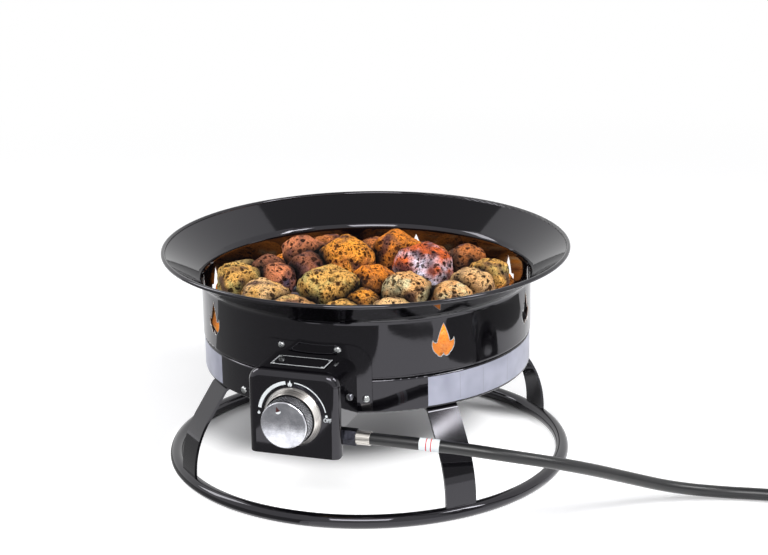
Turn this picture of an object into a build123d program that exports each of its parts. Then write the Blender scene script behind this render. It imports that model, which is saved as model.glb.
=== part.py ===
from build123d import *
import math
import os
import random

# Propane fire pit: a flared steel bowl on a low base pan, a tube stand with
# four strap legs, a ring burner under lava rock, and a control hood with a
# push-and-turn valve, fed by a hose with a regulator on its far end.
# Millimetres, +Z up, the bowl's axis on Z, the floor at z = 0, the hood at -Y.

os.makedirs("parts", exist_ok=True)

# Bowl
rim_radius = 241.3
lip_radius = 2.6
bowl_radius = 195.0
bowl_height = 102.0
bowl_sheet = 1.2
bowl_corner = 4.0
flare_rise = 68.5
flare_bend = 9.0
vent_width = 27.0
vent_tall = 39.0
vent_rise = 40.0
vent_count = 8
drain_radius = 4.0
drain_inset = 23.0
drain_count = 4

# Half a vent's outline, arc by arc: start, middle and end as shares of its half width and half height
vent_arcs = [
    ((0, 1), (0.36, 0.42), (0.6, -0.14)),
    ((0.6, -0.14), (0.82, -0.12), (0.97, 0.06)),
    ((0.97, 0.06), (1.0, -0.45), (0.58, -0.86)),
    ((0.58, -0.86), (0.3, -1.0), (0, -0.8)),
]

# Base pan
stand_height = 120.0
pan_step = 1.5
pan_sheet = 1.2
pan_corner = 3.0
pan_flange = 18.0
slot_length = 46.0
slot_width = 9.0
slot_inset = 75.5
slot_count = 8
bowl_screw_count = 6

# Stand
ring_radius = 233.3
ring_tube = 8.0
ring_flat = 0.4
leg_width = 38.0
leg_sheet = 3.0
leg_angles = {"front_right": 45, "back_right": 135, "back_left": 225, "front_left": 315}
leg_rise = 65.5
leg_knee_share = 0.776
leg_lean_angle = 34.0
leg_top_bend = 10.0
leg_foot_length = 40.4
weld_gap = 0.1
leg_bolt_inset = 16.0
leg_bolt_half_spacing = 10.0
leg_bolt_radius = 3.0
leg_bolt_head_flats = 10.0
leg_bolt_head_height = 4.0
leg_bolt_stickout = 8.0
leg_nut_height = 5.0

# Control hood
hood_sheet = 1.2
hood_depth = 55.0
hood_half_width = 53.0
hood_rise = 52.0
hood_side_drop = 14.0
hood_panel_drop = 46.0
hood_top_corner = 16.0
hood_panel_corner = 2.5
hood_front_round = 9.0
hood_return = 12.0
flange_side = 16.0
flange_rise = 15.0
flange_lift = 3.0
flange_corner = 25.0
flange_screw_share = 0.6
seat_gap = 0.15
hood_screw_half_spacing = 33.0
hood_side_screw_rise = 4.0
side_screw_rise = 14.0
band_screw_angle = 27.6
band_screw_rise = 9.0
plate_length = 64.0
plate_depth = 30.0
plate_sheet = 0.8
plate_corner = 2.0
rivet_head_radius = 1.8
rivet_head_height = 0.9
rivet_inset = 3.6

# Screws and clearances
screw_head_radius = 4.2
screw_head_height = 2.6
screw_radius = 2.1
screw_length = 8.0
hole_clearance = 0.25
press_gap = 0.05

# Valve, knob and dial
valve_radius = 15.0
valve_depth = 34.0
bush_radius = 8.0
bush_length = 6.4
panel_nut_flats = 22.0
panel_nut_height = 4.0
stem_radius = 4.0
run_gap = 0.05
spring_room_radius = 7.5
spring_room_depth = 9.5
spring_room_inset = 4.0
plug_big_radius = 8.5
plug_small_radius = 7.0
plug_length = 16.0
push_travel = 4.0
tongue_width = 2.6
tongue_length = 4.0
tongue_half_height = 3.2
slot_gap = 0.2
slot_depth = 9.0
port_radius = 2.5
collar_radius = 6.2
collar_height = 1.6
spring_wire = 0.45
spring_radius = 5.2
spring_turns = 3
spring_end_gap = 0.1
outlet_radius = 9.7
outlet_length = 8.0
boss_radius = 9.0
boss_drop = 18.0
jet_flats = 11.0
jet_length = 7.0
jet_nose_radius = 3.0
jet_nose_length = 5.0
bezel_radius = 34.0
bezel_lean = 5.1
bezel_lip = 0.8
bezel_depth = 10.5
bezel_sheet = 0.8
bezel_round = 1.2
knob_gap = 1.2
knob_back = 7.0
knob_length = 21.0
knob_lean = 0.3
knob_front_round = 0.4
knob_wall = 3.0
knob_face_wall = 4.0
knob_hub_radius = 8.0
knob_hub_back = 10.0
cap_inset = 0.7
cap_sheet = 1.2
cap_proud = 0.5

# Bracket and mixer
bracket_sheet = 1.2
bracket_rise = 24.0
bracket_drop = 13.0
bracket_tab = 14.0
mixer_radius = 11.0
mixer_wall = 1.2
mixer_hole_gap = 0.6
mixer_floor_gap = 2.8
air_window_length = 22.0
air_window_width = 9.0
air_window_inset = 44.0
elbow_wall = 2.4
elbow_bend = 14.0
elbow_collar = 3.0
elbow_socket = 20.0

# Burner
burner_ring_radius = 105.0
burner_tube = 9.5
burner_rise = 23.0
hub_radius = 16.0
hub_half_height = 12.0
neck_gap = 0.4
neck_depth = 5.0
spacer_wall = 4.0
locknut_flats = 34.0
locknut_height = 6.0
locknut_gap = 2.0
port_count = 24
burner_port_radius = 1.1
burner_port_depth = 1.6

# Gas inlet and hose
hose_radius = 7.0
inlet_offset = 11.0
inlet_drop = 7.5
inlet_tube_radius = 6.0
inlet_bend = 6.8
nut_overlap = 3.0
nut_length = 16.0
nut_flats = 17.0
nut_gap = 0.2
ferrule_wall = 0.8
ferrule_length = 16.0
run_reach = 502.0
run_side = 207.0
run_fillet_share = 0.45

# The hose from its ferrule to the coil, as shares of the run's reach, side shift and drop
hose_route = [
    (0.0, 0.0, 0.0),
    (0.084, 0.0, 0.0),
    (0.187, 0.029, 0.025),
    (0.287, 0.082, 0.094),
    (0.378, 0.208, 0.222),
    (0.45, 0.411, 0.429),
    (0.518, 0.633, 0.676),
    (0.598, 0.831, 0.903),
    (0.697, 0.952, 1.002),
    (0.813, 1.0, 1.006),
    (0.928, 1.0, 1.0),
    (1.0, 1.0, 1.0),
]

# Hose coil, tie and regulator
tie_sheet = 1.0
tie_gap = 0.3
tie_width = 14.0
tie_corner = 6.0
coil_entry = 14.0
coil_outer = 94.4
coil_gap = 0.6
coil_turns = 5.0
coil_steps = 4
tail_length = 50.0
regulator_radius = 27.0
regulator_below = 12.0
regulator_seam = 5.0
regulator_cover_height = 9.0
regulator_neck_radius = 8.6
regulator_neck_end = 34.0
bonnet_radius = 10.0
bonnet_height = 9.0
bonnet_round = 2.0
vent_tube_radius = 4.0
vent_tube_bore = 1.6
vent_tube_height = 5.0
vent_tube_offset = 17.0
nipple_radius = 7.0
nipple_collar_radius = 11.0
nipple_collar_length = 4.0
nipple_nose_length = 14.0
wheel_length = 36.0
wheel_web = 8.0
wheel_bore = 15.0
wheel_scallops = 10
wheel_scallop_radius = 5.0
wheel_scallop_depth = 1.6
wheel_side_gap = 0.4

# Rocks, in hundredths of the bowl's radius
rock_gap = 0.4
rock_facets = 16
lower_rock_facets = 10
lower_ring_count = 16
lower_ring_share = 79.0
lower_ring_half = (15.5, 15.8, 14.0)
lower_rock_share = 14.0
inner_rock_share = 28.5
inner_rock_angles = (35, 90, 145, 215, 270, 325)
inner_rock_half = (14.0, 14.0, 14.0)

# The rocks of the top layer: centre x, y and height over the floor, then half sizes along x, y and z
upper_rocks = [
    (-63, -47.5, 35.5, 14.5, 13.5, 11.5),
    (-57.5, -18.5, 34.5, 10.5, 12.5, 10),
    (-44, -36, 34, 11.5, 12.5, 11.5),
    (-31, -18.5, 36.5, 13.5, 12.5, 11),
    (-41, 4, 40, 15, 14, 11.5),
    (-10.5, -7, 42, 18, 15.5, 14),
    (-4, -54.5, 39, 19.5, 15.5, 13),
    (14, 15.5, 40.5, 17, 15.5, 14.5),
    (17, -33, 36.5, 14.5, 13.5, 11.5),
    (39, -6, 39, 19, 17.5, 16),
    (41, -45, 37.5, 15, 14, 11.5),
    (56.5, 22.5, 37.5, 12.5, 13, 11),
    (76, 4.5, 35, 14, 13, 11),
    (72, -18, 35, 14, 11.5, 10.5),
    (65.5, -38, 33.5, 13, 12, 10),
    (-41, -65, 33.5, 16, 12.5, 10),
    (17.5, -58.5, 32.5, 10.5, 11.5, 9),
    (-70, -19.5, 30.5, 11.5, 13.5, 10),
    (-34, 30, 34, 16, 14.5, 11),
    (-6, 41, 31.5, 15.5, 14, 11),
    (23.5, 43, 31, 15.5, 14, 11),
    (-18.5, -77, 30, 14.5, 11.5, 9),
    (12.5, -77, 30, 15, 11.5, 9),
    (40, -67.5, 30.5, 14, 12, 9.5),
]

# Heights and places that follow from those sizes
valve_height = stand_height + pan_sheet + mixer_floor_gap + mixer_radius
elbow_top = valve_height + elbow_bend + elbow_collar
bowl_bottom = elbow_top + locknut_gap + locknut_height
bowl_floor = bowl_bottom + bowl_sheet
rim_height = bowl_bottom + bowl_height
flare_height = bowl_bottom + flare_rise
vent_height = bowl_bottom + vent_rise
lip_centre = (rim_radius - lip_radius, rim_height - lip_radius)
pan_bottom = stand_height
pan_radius = bowl_radius - pan_step
pan_floor_radius = pan_radius - pan_flange
bowl_screw_ring = pan_radius - pan_flange / 2
drain_ring = bowl_radius - drain_inset
slot_ring = pan_radius - slot_inset
leg_face = ring_radius + leg_sheet / 2
leg_knee_height = stand_height - leg_rise
leg_lean_run = leg_rise * math.tan(math.radians(leg_lean_angle))
leg_foot_end = leg_face - leg_lean_run - leg_foot_length
leg_knee_room = leg_knee_share * (leg_knee_height - ring_tube)
leg_knee_radius = leg_knee_room / math.tan(math.radians(leg_lean_angle / 2))
leg_bolt_ring = leg_foot_end + leg_bolt_inset
hood_seat_radius = bowl_radius + seat_gap
hood_skin_radius = hood_seat_radius + hood_sheet
hood_reach = bowl_radius + hood_depth
hood_top = valve_height + hood_rise
hood_side_bottom = valve_height - hood_side_drop
hood_panel_bottom = valve_height - hood_panel_drop
flange_half_width = hood_half_width + flange_side
flange_top = hood_top + flange_rise
flange_bottom = hood_side_bottom + flange_lift
panel_inner = hood_reach - hood_sheet
hood_screw_top_angle = math.degrees(math.asin(hood_screw_half_spacing / hood_skin_radius))
hood_screw_top_height = hood_top + flange_screw_share * flange_rise
hood_screw_side_line = hood_half_width + flange_screw_share * flange_side
hood_screw_side_angle = math.degrees(math.asin(hood_screw_side_line / hood_skin_radius))
hood_screw_side_height = valve_height + hood_side_screw_rise
side_screw_height = valve_height + side_screw_rise
band_screw_height = stand_height + band_screw_rise
plate_distance = (hood_skin_radius + hood_reach - hood_front_round) / 2
valve_back = hood_reach - valve_depth
side_screw_distance = valve_back - bracket_tab / 2
spring_room_front = hood_reach - spring_room_inset
boss_bottom = valve_height - boss_drop
bracket_top = valve_height + bracket_rise
bracket_bottom = valve_height - bracket_drop
air_window_distance = valve_back - air_window_inset
bezel_shoulder = bezel_radius - bezel_lean
bezel_mouth = bezel_shoulder - bezel_lip
knob_back_radius = bezel_mouth - knob_gap
knob_front_radius = knob_back_radius - knob_lean
knob_front = knob_back + knob_length
cap_radius = knob_front_radius - cap_inset
burner_height = bowl_bottom + burner_rise
neck_radius = mixer_radius - neck_gap
neck_bottom = elbow_top - neck_depth
hose_axis_y = -valve_back - inlet_offset
hose_axis_z = boss_bottom - inlet_drop
nut_start = hood_half_width - nut_overlap
ferrule_radius = hose_radius + ferrule_wall
ferrule_end = nut_start + nut_length + ferrule_length
hose_floor = hose_radius + tie_sheet + tie_gap / 2
screw_hole = screw_radius + hole_clearance
leg_bolt_hole = leg_bolt_radius + hole_clearance


def wall_plane(angle, radius, height):
    # A plane that stands on the round wall and faces out, turned from -Y towards +X
    turn = math.radians(angle)
    return Plane(
        origin=(radius * math.sin(turn), -radius * math.cos(turn), height),
        x_dir=(math.cos(turn), math.sin(turn), 0),
        z_dir=(math.sin(turn), -math.cos(turn), 0),
    )


def pan_head_screw(seat, head_radius, head_height, shank_radius, shank_length):
    # A domed head on the seat plane and its shank behind it
    section = Plane(seat.origin, x_dir=seat.x_dir, z_dir=-seat.y_dir)
    with BuildSketch(section) as profile:
        with BuildLine():
            shank = Polyline(
                (0, head_height),
                (0, -shank_length),
                (shank_radius, -shank_length),
                (shank_radius, 0),
                (head_radius, 0),
                (head_radius, head_height / 3),
            )
            TangentArc(shank @ 0, shank @ 1, tangent=(1, 0))
        make_face()
    revolve(profile.sketch, axis=Axis(seat.origin, seat.z_dir))


def round_hole(seat, radius, depth):
    # A round hole through whatever lies within a depth either side of the seat plane
    with BuildSketch(seat) as hole:
        Circle(radius)
    extrude(hole.sketch, amount=depth, both=True, mode=Mode.SUBTRACT)


# Places that several pieces share
vent_angles = [step * 360 / vent_count for step in range(1, vent_count)]
bowl_screws_at = PolarLocations(bowl_screw_ring, bowl_screw_count, start_angle=0)
leg_bolt_planes = [
    wall_plane(angle, leg_bolt_ring, pan_bottom) for angle in leg_angles.values()
]
hood_top_seats = [
    wall_plane(side * hood_screw_top_angle, hood_skin_radius, hood_screw_top_height)
    for side in (-1, 1)
]
hood_side_seats = [
    wall_plane(side * hood_screw_side_angle, hood_skin_radius, hood_screw_side_height)
    for side in (-1, 1)
]
side_screw_seats = [
    Plane(
        origin=(side * hood_half_width, -side_screw_distance, side_screw_height),
        x_dir=(0, side, 0),
        z_dir=(side, 0, 0),
    )
    for side in (-1, 1)
]
band_screw_seats = [
    wall_plane(angle, pan_radius, band_screw_height)
    for angle in (-band_screw_angle, 180 - band_screw_angle)
]
valve_axis = Axis((0, 0, valve_height), (0, -1, 0))
valve_section = Plane.XY.offset(valve_height)


# Bowl: floor, wall, flare and rolled lip in one spun sheet
with BuildPart() as bowl:
    with BuildSketch(Plane.XZ):
        with BuildLine():
            FilletPolyline(
                (neck_radius + hole_clearance, bowl_bottom),
                (bowl_radius, bowl_bottom),
                (bowl_radius, flare_height),
                lip_centre,
                radius=[bowl_corner, flare_bend],
            )
            offset(amount=bowl_sheet, side=Side.LEFT)
        make_face()
        with Locations(lip_centre):
            Circle(lip_radius)
    revolve(axis=Axis.Z)
    # Flame-shaped vents through the wall
    for vent_angle in vent_angles:
        with BuildSketch(wall_plane(vent_angle, bowl_radius, vent_height)):
            with BuildLine():
                for side in (-vent_width / 2, vent_width / 2):
                    for arc in vent_arcs:
                        ThreePointArc(*[(side * x, y * vent_tall / 2) for x, y in arc])
            make_face()
        extrude(amount=2 * bowl_sheet + vent_width / 10, both=True, mode=Mode.SUBTRACT)
    with BuildSketch(Plane.XY.offset(bowl_bottom)):
        with PolarLocations(drain_ring, drain_count, start_angle=45):
            Circle(drain_radius)
        with bowl_screws_at:
            Circle(screw_hole)
    extrude(amount=bowl_sheet, both=True, mode=Mode.SUBTRACT)
    for seat in hood_top_seats:
        round_hole(seat, screw_hole, screw_length)
bowl.part.label = "bowl"
export_step(bowl.part, "parts/bowl.step")

# Base pan: floor, wall and the turned-in flange that the bowl sits on
with BuildPart() as base_pan:
    with BuildSketch(Plane.XZ):
        with BuildLine():
            FilletPolyline(
                (pan_floor_radius, pan_bottom),
                (pan_radius, pan_bottom),
                (pan_radius, bowl_bottom),
                (pan_radius - pan_flange, bowl_bottom),
                radius=[pan_corner, pan_corner],
            )
            offset(amount=pan_sheet, side=Side.LEFT)
        make_face()
    revolve(axis=Axis.Z)
    with BuildSketch(Plane.XY.offset(pan_bottom)):
        Circle(pan_floor_radius)
    extrude(amount=pan_sheet)
    with BuildSketch(Plane.XY.offset(pan_bottom)):
        with PolarLocations(slot_ring, slot_count, start_angle=180 / slot_count):
            SlotOverall(slot_length, slot_width, rotation=90)
    extrude(amount=pan_sheet, both=True, mode=Mode.SUBTRACT)
    with BuildSketch(Plane.XY.offset(bowl_bottom)):
        with bowl_screws_at:
            Circle(screw_hole)
    extrude(amount=-2 * pan_sheet, mode=Mode.SUBTRACT)
    with BuildSketch(*[Plane(p.origin, x_dir=p.x_dir, z_dir=(0, 0, 1)) for p in leg_bolt_planes]):
        with GridLocations(2 * leg_bolt_half_spacing, 0, 2, 1):
            Circle(leg_bolt_hole)
    extrude(amount=pan_sheet, both=True, mode=Mode.SUBTRACT)
    round_hole(wall_plane(0, pan_radius, valve_height), mixer_radius + mixer_hole_gap, pan_radius / 10)
    for seat in hood_side_seats + band_screw_seats:
        round_hole(seat, screw_hole, screw_length)
base_pan.part.label = "base_pan"
export_step(base_pan.part, "parts/base_pan.step")

# Screws that hold the bowl down on the pan's flange
with BuildPart() as bowl_screws:
    for place in bowl_screws_at.locations:
        seat = Plane.XY.offset(bowl_floor)
        seat.origin = seat.origin + place.position
        pan_head_screw(seat, screw_head_radius, screw_head_height, screw_radius, screw_length)
bowl_screws.part.label = "bowl_screws"
export_step(bowl_screws.part, "parts/bowl_screws.step")

# Stand: a bent tube ring, with a narrow flat where it meets the floor
with BuildPart() as base_ring:
    with BuildSketch(Plane.XZ):
        with Locations((ring_radius, ring_tube - ring_flat)):
            Circle(ring_tube)
        with Locations((ring_radius, ring_tube)):
            Rectangle(2 * ring_tube, 2 * ring_tube, mode=Mode.INTERSECT)
    revolve(axis=Axis.Z)
base_ring.part.label = "base_ring"
export_step(base_ring.part, "parts/base_ring.step")

# Strap legs: straight off the ring, swept inwards, then flat under the pan
for leg_name, leg_angle in leg_angles.items():
    side_plane = wall_plane(leg_angle, 0, 0)
    with BuildPart() as leg:
        with BuildSketch(Plane((0, 0, 0), x_dir=side_plane.z_dir, z_dir=-side_plane.x_dir)):
            with BuildLine():
                FilletPolyline(
                    (leg_face, ring_tube),
                    (leg_face, leg_knee_height),
                    (leg_face - leg_lean_run, pan_bottom),
                    (leg_foot_end, pan_bottom),
                    radius=[leg_knee_radius, leg_top_bend],
                )
                offset(amount=leg_sheet, side=Side.LEFT)
            make_face()
        extrude(amount=leg_width / 2, both=True)
        with BuildSketch(Plane.XZ):
            with Locations((ring_radius, ring_tube - ring_flat)):
                Circle(ring_tube + weld_gap)
        revolve(axis=Axis.Z, mode=Mode.SUBTRACT)
        bolt_plane = wall_plane(leg_angle, leg_bolt_ring, pan_bottom)
        with BuildSketch(Plane(bolt_plane.origin, x_dir=bolt_plane.x_dir, z_dir=(0, 0, 1))):
            with GridLocations(2 * leg_bolt_half_spacing, 0, 2, 1):
                Circle(leg_bolt_hole)
        extrude(amount=-2 * leg_sheet, mode=Mode.SUBTRACT)
    leg.part.label = f"leg_{leg_name}"
    export_step(leg.part, f"parts/leg_{leg_name}.step")

# Leg bolts from below and their nuts inside the pan
bolt_seats = [
    Plane(p.origin - Vector(0, 0, leg_sheet), x_dir=p.x_dir, z_dir=(0, 0, -1)) for p in leg_bolt_planes
]
nut_seats = [
    Plane(p.origin + Vector(0, 0, pan_sheet), x_dir=p.x_dir, z_dir=(0, 0, 1)) for p in leg_bolt_planes
]
with BuildPart() as leg_bolts:
    with BuildSketch(*bolt_seats):
        with GridLocations(2 * leg_bolt_half_spacing, 0, 2, 1):
            RegularPolygon(leg_bolt_head_flats / 2, 6, major_radius=False)
    extrude(amount=leg_bolt_head_height)
    with BuildSketch(*bolt_seats):
        with GridLocations(2 * leg_bolt_half_spacing, 0, 2, 1):
            Circle(leg_bolt_radius)
    extrude(amount=-leg_sheet - pan_sheet - leg_bolt_stickout)
leg_bolts.part.label = "leg_bolts"
export_step(leg_bolts.part, "parts/leg_bolts.step")

with BuildPart() as leg_nuts:
    with BuildSketch(*nut_seats):
        with GridLocations(2 * leg_bolt_half_spacing, 0, 2, 1):
            RegularPolygon(leg_bolt_head_flats / 2, 6, major_radius=False)
            Circle(leg_bolt_radius + press_gap, mode=Mode.SUBTRACT)
    extrude(amount=leg_nut_height)
leg_nuts.part.label = "leg_nuts"
export_step(leg_nuts.part, "parts/leg_nuts.step")


def hood_form(inset, overrun):
    # The hood's block, drawn in from its outer faces; overrun opens its underside
    half_width = hood_half_width - inset
    top = hood_top - inset
    front = hood_reach - inset
    with BuildPart() as form:
        with BuildSketch(Plane.XZ.offset(front)):
            with BuildLine():
                sides = FilletPolyline(
                    (-half_width, hood_panel_bottom - overrun),
                    (-half_width, top),
                    (half_width, top),
                    (half_width, hood_panel_bottom - overrun),
                    radius=hood_top_corner - inset,
                )
                Line(sides @ 0, sides @ 1)
            make_face()
        extrude(amount=-hood_return - overrun)
        front_face = form.faces().sort_by(Axis.Y)[0]
        bent_edges = front_face.edges().filter_by(lambda e: e.center().Z > hood_panel_bottom + inset)
        fillet(bent_edges, hood_front_round - inset)
        with BuildSketch(Plane.XZ.offset(hood_reach - hood_return)):
            with BuildLine():
                sides = FilletPolyline(
                    (-half_width, hood_side_bottom - overrun),
                    (-half_width, top),
                    (half_width, top),
                    (half_width, hood_side_bottom - overrun),
                    radius=hood_top_corner - inset,
                )
                Line(sides @ 0, sides @ 1)
            make_face()
        extrude(amount=hood_return - hood_reach + bowl_radius / 2)
    return form.part


# Control hood: a bent cover with a flange wrapped on the bowl's wall
hood_outside = hood_form(0, 0)
hood_inside = hood_form(hood_sheet, hood_return)
with BuildPart() as control_hood:
    with BuildSketch(Plane.XZ.offset(hood_reach)):
        with BuildLine():
            flange = FilletPolyline(
                (-flange_half_width, flange_bottom),
                (-flange_half_width, flange_top),
                (flange_half_width, flange_top),
                (flange_half_width, flange_bottom),
                radius=flange_corner,
            )
            Line(flange @ 0, flange @ 1)
        make_face()
    extrude(amount=-hood_reach)
    with BuildSketch(Plane.XY.offset(flange_bottom)):
        Circle(hood_skin_radius)
        Circle(hood_seat_radius, mode=Mode.SUBTRACT)
    extrude(amount=flange_top - flange_bottom, mode=Mode.INTERSECT)
    add(hood_outside)
    with BuildSketch(Plane.XY.offset(hood_panel_bottom)):
        Circle(hood_seat_radius)
    extrude(amount=flange_top - hood_panel_bottom, mode=Mode.SUBTRACT)
    add(hood_inside, mode=Mode.SUBTRACT)
    # Rounded lower corners of the front panel
    with BuildSketch(Plane.XZ.offset(hood_reach)):
        for side in (-1, 1):
            with BuildLine():
                corner = Polyline(
                    (side * (hood_half_width - hood_panel_corner), hood_panel_bottom),
                    (side * hood_half_width, hood_panel_bottom),
                    (side * hood_half_width, hood_panel_bottom + hood_panel_corner),
                )
                TangentArc(corner @ 0, corner @ 1, tangent=(side, 0))
            make_face()
    extrude(amount=-hood_return - hood_sheet, mode=Mode.SUBTRACT)
    round_hole(Plane.XZ.offset(hood_reach).shift_origin((0, -hood_reach, valve_height)),
               bush_radius + hole_clearance, hood_return)
    for seat in hood_top_seats + hood_side_seats:
        round_hole(seat, screw_hole, screw_length)
    for seat in side_screw_seats:
        round_hole(seat, screw_hole, hood_return / 2)
control_hood.part.label = "control_hood"
export_step(control_hood.part, "parts/control_hood.step")

with BuildPart() as hood_screws:
    for seat in hood_top_seats + hood_side_seats:
        pan_head_screw(seat, screw_head_radius, screw_head_height, screw_radius, screw_length)
hood_screws.part.label = "hood_screws"
export_step(hood_screws.part, "parts/hood_screws.step")

with BuildPart() as side_screws:
    for seat in side_screw_seats:
        pan_head_screw(seat, screw_head_radius, screw_head_height, screw_radius, screw_length / 2)
side_screws.part.label = "side_screws"
export_step(side_screws.part, "parts/side_screws.step")

with BuildPart() as band_screws:
    for seat in band_screw_seats:
        pan_head_screw(seat, screw_head_radius, screw_head_height, screw_radius, screw_length)
band_screws.part.label = "band_screws"
export_step(band_screws.part, "parts/band_screws.step")

# Bare plate on top of the hood and its corner rivets
plate_seat = Plane((0, -plate_distance, hood_top))
with BuildPart() as hood_plate:
    with BuildSketch(plate_seat):
        RectangleRounded(plate_length, plate_depth, plate_corner)
    extrude(amount=plate_sheet)
hood_plate.part.label = "hood_plate"
export_step(hood_plate.part, "parts/hood_plate.step")

with BuildPart() as plate_rivets:
    rivet_grid = GridLocations(plate_length - 2 * rivet_inset, plate_depth - 2 * rivet_inset, 2, 2)
    with BuildSketch(plate_seat.offset(plate_sheet)):
        with rivet_grid:
            Circle(rivet_head_radius)
    extrude(amount=rivet_head_height)
    fillet(plate_rivets.edges().group_by(Axis.Z)[-1], rivet_head_height / 2)
plate_rivets.part.label = "plate_rivets"
export_step(plate_rivets.part, "parts/plate_rivets.step")

# Bracket across the hood that carries the mixer behind the valve
bracket_reach = hood_half_width - hood_sheet - seat_gap
with BuildPart() as valve_bracket:
    with BuildSketch(Plane.XY.offset(bracket_bottom)):
        with BuildLine():
            FilletPolyline(
                (-bracket_reach, bracket_tab - valve_back),
                (-bracket_reach, -valve_back),
                (bracket_reach, -valve_back),
                (bracket_reach, bracket_tab - valve_back),
                radius=2 * bracket_sheet,
            )
            offset(amount=bracket_sheet, side=Side.LEFT)
        make_face()
    extrude(amount=bracket_top - bracket_bottom)
    round_hole(Plane.XZ.offset(valve_back).shift_origin((0, -valve_back, valve_height)),
               outlet_radius + hole_clearance, 2 * bracket_sheet)
    for seat in side_screw_seats:
        round_hole(seat, screw_hole, hood_return / 2)
valve_bracket.part.label = "valve_bracket"
export_step(valve_bracket.part, "parts/valve_bracket.step")

# Valve body: barrel, threaded bush through the panel, outlet behind, inlet boss below
plug_front = spring_room_front - spring_room_depth
plug_back = plug_front - plug_length
with BuildPart() as valve_body:
    with BuildSketch(valve_section):
        with BuildLine():
            Polyline(
                (0, -valve_back + outlet_length),
                (0, -panel_inner - bush_length),
                (bush_radius, -panel_inner - bush_length),
                (bush_radius, -panel_inner),
                (valve_radius, -panel_inner),
                (valve_radius, -valve_back),
                (outlet_radius, -valve_back),
                (outlet_radius, -valve_back + outlet_length),
                close=True,
            )
        make_face()
    revolve(axis=valve_axis)
    with BuildSketch(Plane((0, hose_axis_y, boss_bottom))):
        Circle(boss_radius)
    extrude(amount=valve_height - boss_bottom)
    # Inside: stem bore, spring room, tapered seat and gas way
    with BuildSketch(valve_section):
        with BuildLine():
            Polyline(
                (0, -hood_reach - bush_length),
                (stem_radius + run_gap, -hood_reach - bush_length),
                (stem_radius + run_gap, -spring_room_front),
                (spring_room_radius, -spring_room_front),
                (spring_room_radius, -plug_front - run_gap),
                (plug_big_radius + run_gap, -plug_front - run_gap),
                (plug_small_radius + run_gap, -plug_back + run_gap),
                (port_radius, -plug_back + run_gap),
                (port_radius, -valve_back + outlet_length),
                (0, -valve_back + outlet_length),
                close=True,
            )
        make_face()
    revolve(axis=valve_axis, mode=Mode.SUBTRACT)
    with BuildSketch(Plane((0, hose_axis_y, boss_bottom))):
        Circle(port_radius)
    extrude(amount=valve_height - boss_bottom, mode=Mode.SUBTRACT)
valve_body.part.label = "valve_body"
export_step(valve_body.part, "parts/valve_body.step")

# Tapered plug that turns with the knob
with BuildPart() as valve_plug:
    with BuildSketch(valve_section):
        with BuildLine():
            Polyline(
                (0, -plug_front),
                (plug_big_radius, -plug_front),
                (plug_small_radius, -plug_back),
                (0, -plug_back),
                close=True,
            )
        make_face()
    revolve(axis=valve_axis)
    with BuildSketch(Plane.XZ.offset(plug_front).shift_origin((0, -plug_front, valve_height))):
        Rectangle(tongue_width + 2 * slot_gap, 2 * (tongue_half_height + slot_gap))
    extrude(amount=-slot_depth, mode=Mode.SUBTRACT)
    with BuildSketch(Plane((0, hose_axis_y, valve_height - plug_big_radius))):
        Circle(port_radius)
    extrude(amount=plug_big_radius, mode=Mode.SUBTRACT)
    with BuildSketch(Plane.XZ.offset(plug_back).shift_origin((0, -plug_back, valve_height))):
        Circle(port_radius)
    extrude(amount=plug_length - slot_depth, mode=Mode.SUBTRACT)
valve_plug.part.label = "valve_plug"
export_step(valve_plug.part, "parts/valve_plug.step")

# Stem: rod with a stop collar, and a tongue that slides in the plug's slot
stem_front = hood_reach + knob_front - knob_face_wall - cap_sheet
stem_back = plug_front + push_travel + 2 * slot_gap
collar_front = spring_room_front - run_gap
with BuildPart() as valve_stem:
    with BuildSketch(valve_section):
        with BuildLine():
            Polyline(
                (0, -stem_front),
                (stem_radius, -stem_front),
                (stem_radius, -collar_front),
                (collar_radius, -collar_front),
                (collar_radius, -collar_front + collar_height),
                (stem_radius, -collar_front + collar_height),
                (stem_radius, -stem_back),
                (0, -stem_back),
                close=True,
            )
        make_face()
    revolve(axis=valve_axis)
    with BuildSketch(Plane.XZ.offset(stem_back).shift_origin((0, -stem_back, valve_height))):
        Rectangle(tongue_width, 2 * tongue_half_height)
    extrude(amount=plug_front - tongue_length - stem_back)
valve_stem.part.label = "valve_stem"
export_step(valve_stem.part, "parts/valve_stem.step")


def biarc_wire(points, headings):
    # Tangent arcs, two between each pair of neighbours, through points with set headings
    for start, end, leave, arrive in zip(points, points[1:], headings, headings[1:]):
        chord = end - start
        both = leave + arrive
        spread = 2 * (1 - leave.dot(arrive))
        if spread < 1e-9:
            reach = chord.dot(chord) / (4 * chord.dot(arrive))
        else:
            along = chord.dot(both)
            reach = (math.sqrt(along * along + spread * chord.dot(chord)) - along) / spread
        middle = (start + end + (leave - arrive) * reach) / 2
        heading = end - arrive * reach - start - leave * reach
        TangentArc(start, middle, tangent=leave)
        TangentArc(middle, end, tangent=heading)


def wound(shape, steps):
    # Points and unit headings of a winding at even steps
    points = [Vector(*shape(step)) for step in steps]
    nudge = 1e-4
    headings = [
        (Vector(*shape(step + nudge)) - Vector(*shape(step - nudge))).normalized() for step in steps
    ]
    return points, headings


# Return spring between the plug and the stem's collar
spring_front = collar_front - collar_height - spring_end_gap - spring_wire
spring_back = plug_front + spring_end_gap + spring_wire


def spring_shape(turn):
    angle = 2 * math.pi * turn
    along = spring_back + (spring_front - spring_back) * turn / spring_turns
    return (spring_radius * math.cos(angle), -along, valve_height + spring_radius * math.sin(angle))


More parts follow.
